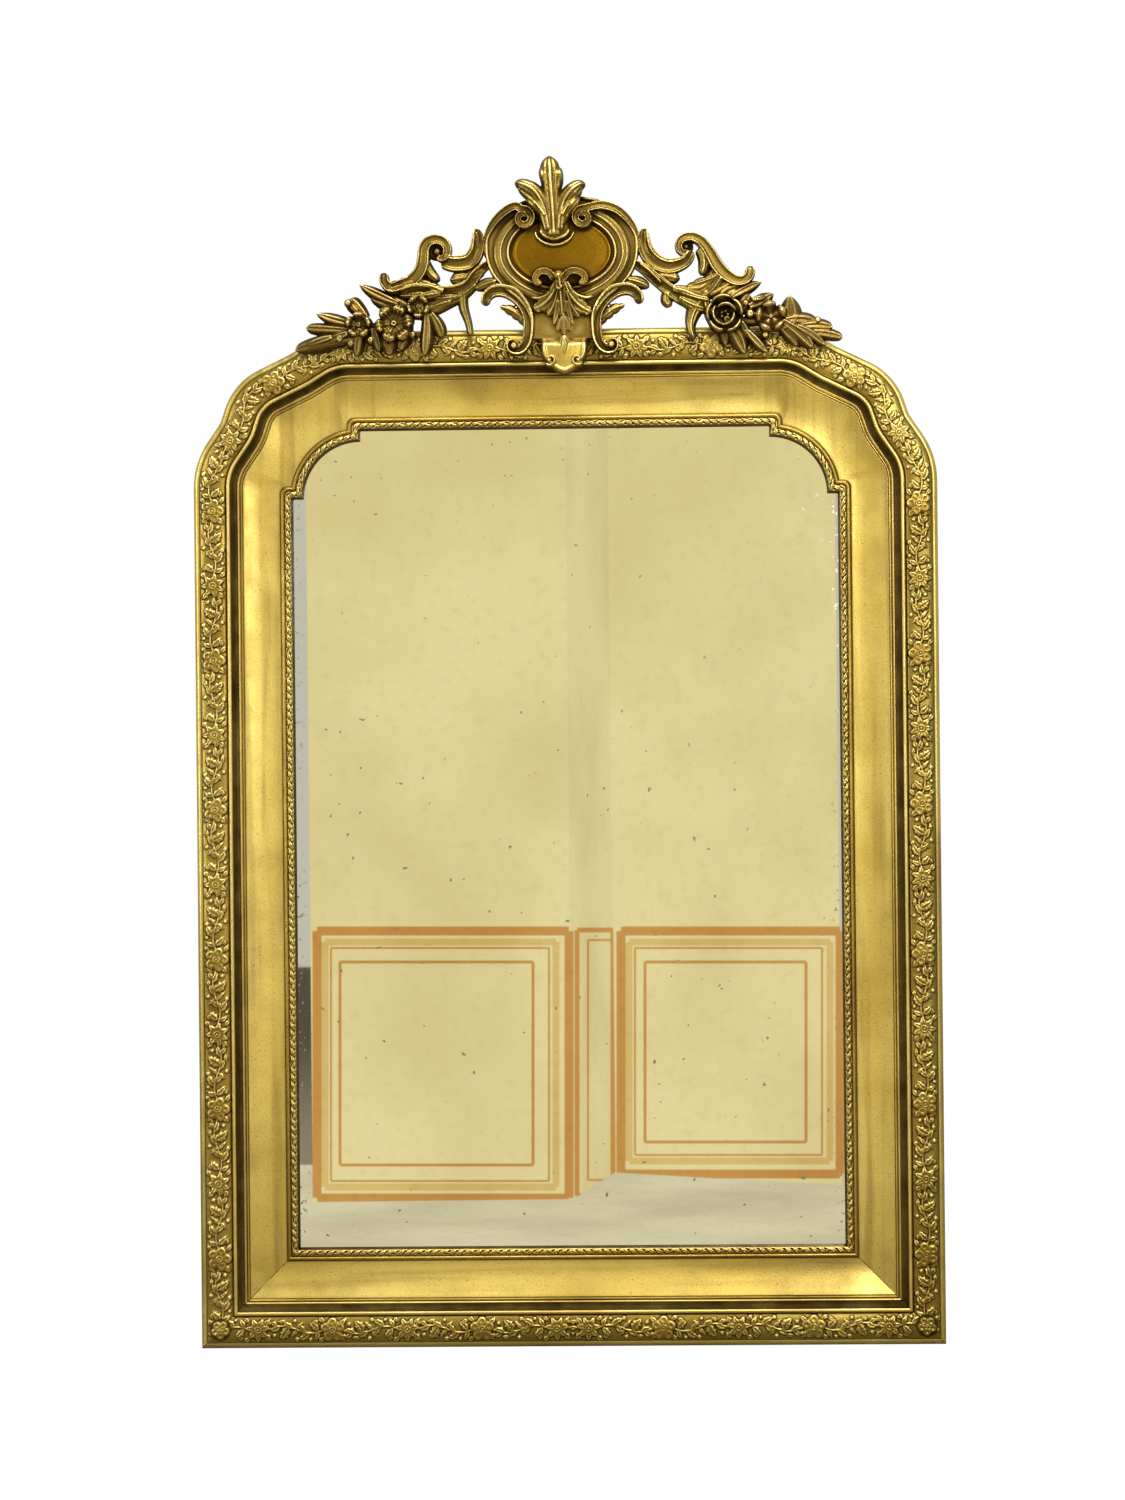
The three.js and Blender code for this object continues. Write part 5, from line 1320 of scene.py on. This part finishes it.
# ---- scroll arms ----
def left_arm_shells():
    arm = [(-107, 125), (-106, 108), (-109, 94), (-117, 84), (-130, 81), (-142, 82), (-152, 86)]
    volute = [(-158, 90.5), (-152, 87), (-146, 91), (-145, 102), (-151, 109.5), (-160, 111.5), (-169, 108.5),
              (-174, 100), (-175, 90),
              (-177, 78), (-183, 67), (-193, 59), (-205, 54)]
    strap = [(-92, 82), (-106, 70), (-116, 57), (-127, 50), (-143, 47), (-163, 47), (-186, 49), (-204, 44)]
    return [
        scroll(arm, [5.5, 8.5, 10, 10.5, 10, 9], 19, COVED, ends=(7, 6)),
        scroll(volute, [3, 4.8, 6, 6.6, 7.2, 7.8, 8.2, 8.6, 9, 9, 9, 8], 18, SHALLOW,
               top=(1.1, 1.1, 1.05, 1, 0.95, 0.85), ends=(3, 6)),
        knob((-159, 98), 12, 7),
        knob((-157.5, 97.5), 6.5, 12),
        scroll([(-173, 90), (-171, 77), (-164, 67), (-155, 60)], [5, 8, 7.5, 4.5], 14, flutes(3),
               ends=(4, 6)),
        scroll([(-190, 60), (-204, 55), (-217, 52), (-224.5, 59), (-225, 71)], [8, 8, 7, 6.5, 6.5], 17, LIPS,
               ends=(6, 6)),
        scroll(strap, [5, 7, 7, 6.5, 6.5, 7.5, 8], 17, COVED, ends=(5, 8)),
        scroll([(-98, 74), (-120, 64), (-142, 61)], [6, 10, 9], 13, flutes(3), ends=(5, 9), lobes=2),
        scroll([(-100, 80), (-114, 68), (-122, 56)], [2, 2.6, 2], 20, ROLL, ends=(4, 4)),
        scroll([(-108, 56), (-124, 43), (-146, 33), (-166, 26), (-186, 20)], [5, 7, 9, 11.5, 12], 12,
               flutes(3), ends=(4, 6)),
        scroll([(-126, 44), (-125, 26), (-119.5, 8), (-116, -10)], [7, 6.5, 5, 4], 12, flutes(2),
               ends=(4, 5)),
        scroll([(-186, 60), (-204, 54), (-224, 48)], [8, 11, 7], 14, flutes(3), ends=(5, 7), lobes=2),
        leaf((-150, 46), (-194, 60), 7.5, -4, 20, 0, lobes=2, blunt=0.3, ribs=3),
        leaf((-154, 44), (-206, 42), 8, 4, 20, 0, lobes=2, blunt=0.3, ribs=3),
        leaf((-132, 40), (-172, 38), 7, 3, 17, 0, blunt=0.2, ribs=3),
        leaf((-140, 34), (-178, 20), 8, -4, 16, 0, blunt=0.3, ribs=3),
        leaf((-108, 120), (-105, 92), 4, 2, 17, 0, blunt=0.3, ribs=2),
    ]


def right_arm_shells():
    arm = [(104, 122.5), (104, 105), (109, 90), (120, 79), (134, 74), (147, 76), (158, 82), (165, 93)]
    volute = [(160, 93), (154, 90.5), (148.5, 95), (148, 102), (152, 108), (158, 110.5), (166, 110.5),
              (175, 106), (182.5, 97.5),
              (189, 87), (195, 76), (202, 67), (211, 59.5), (222, 54.5), (232, 56.5), (237.5, 64),
              (236.5, 73)]
    strap = [(90, 80), (104, 71), (120, 57), (142, 40), (162, 30), (186, 24)]
    return [
        scroll(arm, [5.5, 8.5, 10, 10.5, 10, 9, 7.5, 5.5], 19, flipped(COVED), ends=(7, 5)),
        scroll(volute, [2.8, 4.4, 5.6, 6.2, 6.8, 7.6, 8.4, 9.2, 9, 8, 7, 6.5, 6.5], 18, SHALLOW,
               top=(1.1, 1.1, 1.05, 1, 0.95, 0.95, 1, 1.05), ends=(3, 6)),
        knob((157, 99), 9.5, 7),
        knob((157, 99), 5, 12),
        scroll([(173, 97), (179, 84), (179, 72), (175.5, 63)], [6, 7.5, 7.5, 5], 15, flutes(3), ends=(4, 6)),
        scroll(strap, [5, 7, 7.5, 8.5, 10, 10], 17, flipped(COVED), ends=(5, 6)),
        scroll([(98, 75), (122, 64), (149, 59)], [6, 10, 8], 13, flutes(3), ends=(5, 9), lobes=2),
        scroll([(134, 44), (131, 32), (138, 25)], [7, 7, 6], 12, flutes(2), ends=(4, 6)),
        scroll([(198, 72), (188, 56), (172, 46), (154, 47)], [8, 11, 10, 6], 14, flutes(3), ends=(5, 8),
               lobes=2),
        scroll([(184, 44), (174, 30), (165, 14), (162, -2), (166, -18)], [9, 11, 10, 6.5, 4], 13, flutes(3),
               ends=(5, 6)),
        scroll([(218, 56), (204, 46), (186, 36)], [7, 10, 9], 14, flutes(3), ends=(5, 6)),
        leaf((196, 62), (158, 50), 7, 4, 19, 0, lobes=2, blunt=0.3, ribs=3),
        leaf((200, 58), (176, 32), 8, 4, 18, 0, lobes=2, blunt=0.3, ribs=3),
        leaf((140, 46), (186, 30), 8, 4, 20, 0, lobes=2, blunt=0.3, ribs=3),
        leaf((148, 34), (190, 18), 8, -4, 18, 0, blunt=0.3, ribs=3),
        leaf((106, 118), (108, 92), 4, -2, 17, 0, blunt=0.3, ribs=2),
        scroll([(98, 78), (112, 67), (126, 52)], [2, 2.6, 2], 20, ROLL, ends=(4, 4)),
    ]


# ---- flower sprays ----
def spray_leaves(leaves, base):
    """Leaves from rows of (start, end, width, bend, rise, lift, blunt, where it is widest)."""
    return [leaf(start, end, width, bend, rise, lift, base, blunt=blunt, full=full, ribs=2)
            for start, end, width, bend, rise, lift, blunt, full in leaves]


def spray_buds(buds, base):
    """Buds from rows of (place, radius, rise)."""
    return [knob(place, radius * 0.9, rise - 3, base, dent=0.1) for place, radius, rise in buds]


def left_spray_shells():
    base = CREST_BACK + 1
    leaves = [
        ((-208, 32), (-257, 56.5), 8.5, 3, 15, 6, 0.1, 0.45),
        ((-198, 18), (-243, 38.5), 10, -4, 16, 0, 0.2, 0.45),
        ((-262, 5), (-312, 20.5), 8.5, 2, 15, 5, 0.1, 0.45), ((-268, -2), (-325, 2.5), 8, 0, 15, 0, 0.5, 0.7),
        ((-256, -10), (-339, -25), 10.5, -4, 15, 0, 0.5, 0.6),
        ((-194, 8), (-206, -27), 10, 0, 17, 0, 0.4, 0.6),
        ((-172, 20), (-175, -34), 9, 4, 17, 0, 0.3, 0.65), ((-166, 18), (-153, -11), 9, 4, 15, 0, 0.5, 0.65),
        ((-222, 0), (-219, -33), 11, 0, 18, 0, 0.4, 0.6), ((-240, 0), (-232, -28), 8, 0, 17, 0, 0.3, 0.5),
        ((-256, 0), (-261, -34), 8, 0, 18, 0, 0.3, 0.6), ((-248, 14), (-270, 38), 10.5, 0, 17, 0, 0.6, 0.7),
        ((-178, 20), (-185, 43), 9, 0, 17, 0, 0.3, 0.5), ((-190, 22), (-222, 40), 10, 0, 17, 0, 0.4, 0.5),
        ((-272, -6), (-300, -17), 8, -2, 19, 0, 0.3, 0.5), ((-292, -10), (-324, -20), 7, -2, 17, 0, 0.3, 0.5),
        ((-196, 30), (-182, 12), 8, 2, 18, 0, 0.3, 0.5),
    ]
    out = spray_leaves(leaves, base)
    out.append(scroll([(-188, 22), (-225, 4), (-262, 2), (-300, -8)], [6, 6, 5], 9, ROLL, base))
    out += flower((-258, 5), 18, 5, 21, base, 0.3)
    out += flower((-213, 6), 26, 6, 23, base, 0.15, 1.08, 0.2, 3)
    out += flower((-182, 27), 16, 5, 21, base, 0.9)
    buds = [((-271, 33), 6, 20), ((-282, -12), 7, 20), ((-268, -18), 6, 19), ((-243, -14), 6, 19),
            ((-190, -8), 6, 19)]
    return out + spray_buds(buds, base)


def right_spray_shells():
    base = CREST_BACK + 1
    leaves = [
        ((214, 34), (252, 53), 8, 3, 15, 5, 0.1, 0.45), ((236, 22), (267, 38.5), 9.5, -2, 15, 4, 0.1, 0.45),
        ((282, 4), (320, 2), 10, 4, 16, 0, 0.5, 0.6), ((300, -4), (341, -5), 9, 4, 15, 0, 0.4, 0.6),
        ((306, -12), (353.5, -18), 8, 4, 14, 0, 0.5, 0.6), ((206, 8), (230, -38), 12, 4, 18, 0, 0.1, 0.55),
        ((226, 2), (236, -19), 7, 0, 19, 0, 0.3, 0.5), ((232, -8), (258, -36), 8, 0, 16, 0, 0.1, 0.45),
        ((278, 2), (316, -31), 11, 6, 18, 0, 0.3, 0.55), ((296, -4), (331, -28), 8, 5, 17, 0, 0.2, 0.5),
        ((198, 32), (224, 47), 11, 4, 18, 0, 0.5, 0.5), ((222, 14), (236, 38), 10, 0, 16, 0, 0.4, 0.5),
        ((186, 16), (183, 34), 6, 4, 20, 0, 0.4, 0.5), ((240, 30), (258, 34), 5, 0, 21, 0, 0.2, 0.5),
        ((200, 2), (206, -26), 8, 2, 16, 0, 0.2, 0.5), ((276, -6), (296, -28), 8, 4, 17, 0, 0.3, 0.5),
    ]
    out = spray_leaves(leaves, base)
    out.append(leaf((289, -2), (287, 36.5), 14.5, 0, 15, 0, base, blunt=0.05, full=0.35, ribs=2, depth=0.2))
    out.append(scroll([(192, 14), (230, 4), (265, 4), (310, -8)], [6, 6, 5], 9, ROLL, base))
    out += rose((204.5, 12), 26, 28.5, base)
    out += flower((263, 9), 21.5, 5, 20, base, 0.45, 1.15, 0.16, 1)
    buds = [((237, 13), 7.5, 20), ((280, -4), 8, 20), ((231, 26), 6, 19), ((322, 4), 5.5, 16),
            ((256, -14), 6, 18)]
    return out + spray_buds(buds, base)


cartouche_parts = [cartouche_shell()]
for hand in (-1, 1):
    cartouche_parts += [rim_scroll(hand)] + lower_scroll(hand)
age([
    carve("cartouche_carving", cartouche_parts, gilt_crest, ["cartouche"], 0.9),
    carve("plaque", [plaque_shell()], gilt_plaque, ["cartouche_plaque"], 0.9),
    carve("lobe_carving", lobe_shells(), gilt_lobe, ["crest_lobe"], 0.7),
    carve("clasp_carving", clasp_shells(), gilt_crest, ["crest_clasp"], 0.7),
    carve("finial_carving", finial_shells(), gilt_crest, ["crest_finial"], 0.75),
    carve("left_arm_carving", left_arm_shells(), gilt_crest, ["left_scroll"], 0.75),
    carve("right_arm_carving", right_arm_shells(), gilt_crest, ["right_scroll"], 0.75),
    carve("left_spray_carving", left_spray_shells(), gilt_spray, ["left_spray"], 0.75),
    carve("right_spray_carving", right_spray_shells(), gilt_spray, ["right_spray"], 0.75),
])


# ---- CAD pieces that keep their shape ----
OWN_SHAPE = {
    silver: ["mirror_plate"],
    pine_up: ["left_glazing_strip", "right_glazing_strip"]
    + [f"{w}_crest_bracket" for w in ("left", "right", "centre")],
    pine_across: ["bottom_glazing_strip", "top_glazing_strip", "backboard_2", "backboard_5"],
    pine_pale: ["backboard_1", "backboard_4"],
    pine_dull: ["backboard_3"],
    hardwood: [f"{s}_{k}_key" for s in ("left", "right") for k in ("mitre", "stile", "top")],
    forged: [f"{s}_hanging_{k}" for s in ("left", "right") for k in ("plate", "ring")],
}
for material, names in OWN_SHAPE.items():
    for name in names:
        node = frame["nodes"][name]
        node.material_slots[0].link = "OBJECT"
        node.material_slots[0].material = material


# ---- screws and nails of the back ----
def head(x, y, h, radius, rise, slot, turn):
    """A round head standing out from the back at depth h, with a slot across it if it is a screw."""
    theta = np.linspace(0, 2 * math.pi, 32, endpoint=False)
    q = np.array([1, 1, 0.94, 0.8, 0.62, 0.45, 0.3, 0.15, 0.05])[:, None]
    up = np.array([-0.6, 0.5, 0.75, 0.9, 0.96, 1, 1, 1, 1])[:, None]
    lx, ly = radius * q * np.cos(theta), radius * q * np.sin(theta)
    cut = 0.5 * smooth(slot + 0.1, slot - 0.1, np.abs(ly)) * (up > 0.9) * (slot > 0)
    return shell(x + lx * math.cos(turn) - ly * math.sin(turn),
                 y - HEIGHT + lx * math.sin(turn) + ly * math.cos(turn),
                 h - rise * (up - cut) + 0 * lx)


board_nails = []
for k in range(1, 6):
    low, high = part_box(f"backboard_{k}")
    for x in (low.x + 0.012, high.x - 0.012):
        for share in (0.2, 0.5) if k == 5 else (0.2, 0.8):
            board_nails.append((x * 1000, (low.z + (high.z - low.z) * share) * 1000 + LIFT, -high.y * 1000))
HANGER_X, HANGER_Y, PLATE_OUT = HALF - 58, 930, -1.65
HEADS = {
    "hanger_screws": ([(side * HANGER_X, HANGER_Y + up, PLATE_OUT) for side in (-1, 1) for up in (16, 38)],
                      3.6, 1.1, 0.5),
    "bracket_screws": ([(x, HEIGHT - down, 0) for x in (-14, 14) for down in (26, 72)]
                       + [(0.45 * side * HALF + x, HEIGHT - 22, 0) for side in (-1, 1) for x in (-7, 7)], 3.8,
                       0.8, 0.5),
    "board_nails": (board_nails, 2.4, 0.6, 0),
}
rng = np.random.default_rng(7)
for name, (places, radius, rise, slot) in HEADS.items():
    turns = rng.uniform(0, math.pi, len(places))
    points, faces, caps = gathered([head(*place, radius, rise, slot, turn) for place,
                                    turn in zip(places, turns)])
    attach(make(name, points, faces, forged, caps, {"grime_and_shading": np.zeros(len(points))}, sharp=40), "frame_body")


# ---- camera ----
PIXEL = 1.27
PHOTO_WIDTH = 1125
PHOTO_HEIGHT = 1500
SENSOR = 36.0
FACE_DEPTH = 45
CAMERA_AWAY = 4300.0
CAMERA_AT = (95.0, 742.0)
LOOK_AT = (-6.0, 757.0)
CAMERA_ROLL = -0.58


def aim(obj, target, roll=0.0):
    way = Vector(target) - obj.location
    obj.rotation_euler = way.to_track_quat("-Z", "Y").to_euler()
    obj.rotation_euler.rotate_axis("Z", math.radians(roll))


camera = bpy.data.objects.new("camera", bpy.data.cameras.new("camera"))
scene.collection.objects.link(camera)
scene.camera = camera
camera.location = world((CAMERA_AT[0], CAMERA_AT[1], CAMERA_AWAY))
camera.data.lens = SENSOR * (CAMERA_AWAY - FACE_DEPTH) / (PHOTO_HEIGHT * PIXEL)
aim(camera, world((LOOK_AT[0], LOOK_AT[1], FACE_DEPTH)), CAMERA_ROLL)


# ---- floor, backdrop seen in the glass, light ----
FLOOR_GLOW = 1.12
FLOOR_GLOW_SHARE = 0.86
FLOOR_REACH = 8000
FLOOR_HEIGHT = -0.4


def glow(name, colour):
    """A pale surface: plain for lamps and the glass, near white for the camera, keeping its shadow."""
    n = Nodes(name)
    tree = n.tree
    n.done(Base_Color=colour, Roughness=0.8)
    light_path = tree.nodes.new("ShaderNodeLightPath")
    emission = tree.nodes.new("ShaderNodeEmission")
    emission.inputs["Strength"].default_value = FLOOR_GLOW
    both = tree.nodes.new("ShaderNodeMixShader")
    n.link(n.sum("MULTIPLY", light_path.outputs["Is Camera Ray"], FLOOR_GLOW_SHARE), both.inputs[0])
    dim = tree.nodes.new("ShaderNodeBsdfDiffuse")
    dim.inputs["Color"].default_value = rgb(132, 126, 112)
    plain = tree.nodes.new("ShaderNodeMixShader")
    n.link(light_path.outputs["Is Glossy Ray"], plain.inputs[0])
    n.link(n.shader.outputs[0], plain.inputs[1])
    n.link(dim.outputs[0], plain.inputs[2])
    n.link(plain.outputs[0], both.inputs[1])
    n.link(emission.outputs[0], both.inputs[2])
    n.link(both.outputs[0], tree.nodes["Material Output"].inputs[0])
    return n.material


def stage_face(name, corners, material):
    """One flat face of the surroundings, which is no part of the mirror."""
    mesh = bpy.data.meshes.new(name)
    mesh.from_pydata([tuple(c) for c in corners], [], [list(range(len(corners)))])
    mesh.materials.append(material)
    obj = bpy.data.objects.new(name, mesh)
    scene.collection.objects.link(obj)
    return obj


floor_corners = [(x * FLOOR_REACH, FLOOR_HEIGHT, h * FLOOR_REACH) for x,
                 h in ((-1, 1), (1, 1), (1, -1), (-1, -1))]
stage_face("floor", [world(c) for c in floor_corners], glow("floor", rgb(236, 234, 228)))

sky = bpy.data.worlds.new("world")
scene.world = sky
sky.use_nodes = True
tree = sky.node_tree
background = tree.nodes["Background"]
path = tree.nodes.new("ShaderNodeLightPath")
ROOM_LIGHT = 0.42
ROOM_SEEN_IN_METAL = 0.6
strength = ROOM_LIGHT
for ray, level in (("Is Glossy Ray", ROOM_SEEN_IN_METAL), ("Is Transmission Ray", 1.0),
                   ("Is Camera Ray", 1.0)):
    pick = tree.nodes.new("ShaderNodeMix")
    tree.links.new(path.outputs[ray], pick.inputs["Factor"])
    if isinstance(strength, float):
        pick.inputs["A"].default_value = strength
    else:
        tree.links.new(strength, pick.inputs["A"])
    pick.inputs["B"].default_value = level
    strength = pick.outputs["Result"]
tree.links.new(strength, background.inputs["Strength"])
background.inputs["Color"].default_value = (1, 1, 1, 1)


def lamp(name, place, target, size, watts, colour=(1, 1, 1)):
    data = bpy.data.lights.new(name, "AREA")
    data.shape = "RECTANGLE"
    data.size, data.size_y = size
    data.energy = watts
    data.color = colour
    obj = bpy.data.objects.new(name, data)
    scene.collection.objects.link(obj)
    obj.location = world(place)
    aim(obj, world(target))


lamp("overhead", (200, 2900, 1300), (0, 700, 0), (2.0, 1.2), 60)
lamp("front", (1300, 1700, 3400), (0, 700, 0), (1.5, 1.5), 46)
lamp("left", (-2600, 1300, 2000), (0, 700, 0), (1.0, 1.8), 24)


# ---- a plain folding screen in front of the glass, seen only in reflections ----
def seen_in_glass(px, py):
    """The way that leaves the glass from a pixel of the 1125 x 1500 frame: its start and direction."""
    turn = camera.matrix_world.to_3x3()
    right = (px - PHOTO_WIDTH / 2) * SENSOR / PHOTO_HEIGHT
    up = (PHOTO_HEIGHT / 2 - py) * SENSOR / PHOTO_HEIGHT
    way = turn @ Vector((right, up, -camera.data.lens))
    place = camera.location.copy()
    start = place + way * ((-GLASS_FRONT / 1000 - place.y) / way.y)
    return start, Vector((way.x, -way.y, way.z))


def on_floor(px, py):
    start, way = seen_in_glass(px, py)
    return start + way * ((-LIFT / 1000 - start.z) / way.z)


def on_panel(px, py, foot_a, foot_b, nearer=0.0):
    """Where that way meets the upright plane over two foot points."""
    start, way = seen_in_glass(px, py)
    along = (foot_b - foot_a).normalized()
    normal = Vector((-along.y, along.x, 0))
    hit = start + way * ((foot_a - start).dot(normal) / way.dot(normal))
    return hit - way.normalized() * nearer


def panel_paint(name, light, dark):
    """Plain distemper, cloudy and worn, giving its own light so that the glass shows it evenly."""
    n = Nodes(name)
    colour = n.mix(n.sum("MULTIPLY", n.noise(3, 5, 0.35, 0.7), 0.5), light, dark)
    colour = n.mix(n.sum("MULTIPLY", n.noise(60, 3, 0.5, 0.75), 0.25), colour, dark)
    emission = n.tree.nodes.new("ShaderNodeEmission")
    n.link(colour, emission.inputs["Color"])
    n.link(emission.outputs[0], n.tree.nodes["Material Output"].inputs[0])
    return n.material


def reflected(name, corners, material):
    """A face of the surroundings that only the glass shows."""
    obj = stage_face(name, corners, material)
    for ray in ("camera", "diffuse", "transmission", "volume_scatter", "shadow"):
        setattr(obj, "visible_" + ray, False)


bpy.context.view_layer.update()
cream = panel_paint("screen_cream", rgb(240, 230, 182), rgb(212, 198, 142))
shaded_cream = panel_paint("screen_shaded_cream", rgb(234, 224, 178), rgb(204, 190, 138))
ochre = panel_paint("screen_line", rgb(208, 158, 90), rgb(184, 122, 58))
sand = panel_paint("screen_moulding", rgb(226, 200, 134), rgb(196, 160, 88))
stone = panel_paint("room_floor", rgb(226, 221, 200), rgb(178, 172, 148))
# where the screen's panels and its floor stand, in pixels of the 1125 x 1500 frame
FEET_PIXELS = ((313, 1203), (573, 1200), (615, 1173), (842, 1186))
FLOOR_PIXELS = ((200, 1262), (880, 1262), (880, 1166), (200, 1166))
FLOOR_LIFT = Vector((0, 0, 0.002))
FEET = [on_floor(*pixel) for pixel in FEET_PIXELS]
SCREEN_TOP = Vector((0, 0, 2.4))
for k, (a, b) in enumerate(zip(FEET, FEET[1:])):
    reflected(f"screen_panel_{k}", [a, b, b + SCREEN_TOP, a + SCREEN_TOP], shaded_cream if k == 1 else cream)
reflected("screen_floor", [on_floor(*pixel) + FLOOR_LIFT for pixel in FLOOR_PIXELS], stone)
# panel, its frame line in the photo frame, how wide, and the paint
BORDERS = [
    (0, (317, 931, 569, 1198), 9, ochre), (0, (325, 942, 556, 1187), 7, sand),
    (0, (331, 948, 549, 1181), 2, ochre),
    (0, (340, 962, 533, 1165), 3, ochre), (1, (577, 930, 613, 1196), 5, ochre),
    (1, (588, 940, 612, 1180), 2, ochre),
    (2, (621, 931, 840, 1174), 9, ochre), (2, (629, 942, 830, 1161), 7, sand),
    (2, (635, 948, 822, 1155), 2, ochre),
    (2, (645, 962, 806, 1142), 3, ochre),
]
for n, (k, (x0, y0, x1, y1), wide, paint) in enumerate(BORDERS):
    feet = FEET[k], FEET[k + 1]
    runs = [((x0, y0), (x1, y0)), ((x0, y1), (x1, y1)), ((x0, y0), (x0, y1)), ((x1, y0), (x1, y1))]
    for m, ((ax, ay), (bx, by)) in enumerate(runs):
        dx, dy = (0, wide / 2) if ay == by else (wide / 2, 0)
        corners = [(ax - dx, ay - dy), (bx - dx, by - dy), (bx + dx, by + dy), (ax + dx, ay + dy)]
        reflected(f"screen_line_{n}_{m}",
                  [on_panel(px, py, *feet, nearer=0.004 + 0.001 * n) for px, py in corners], paint)

scene.view_settings.view_transform = "Standard"
bpy.context.view_layer.update()
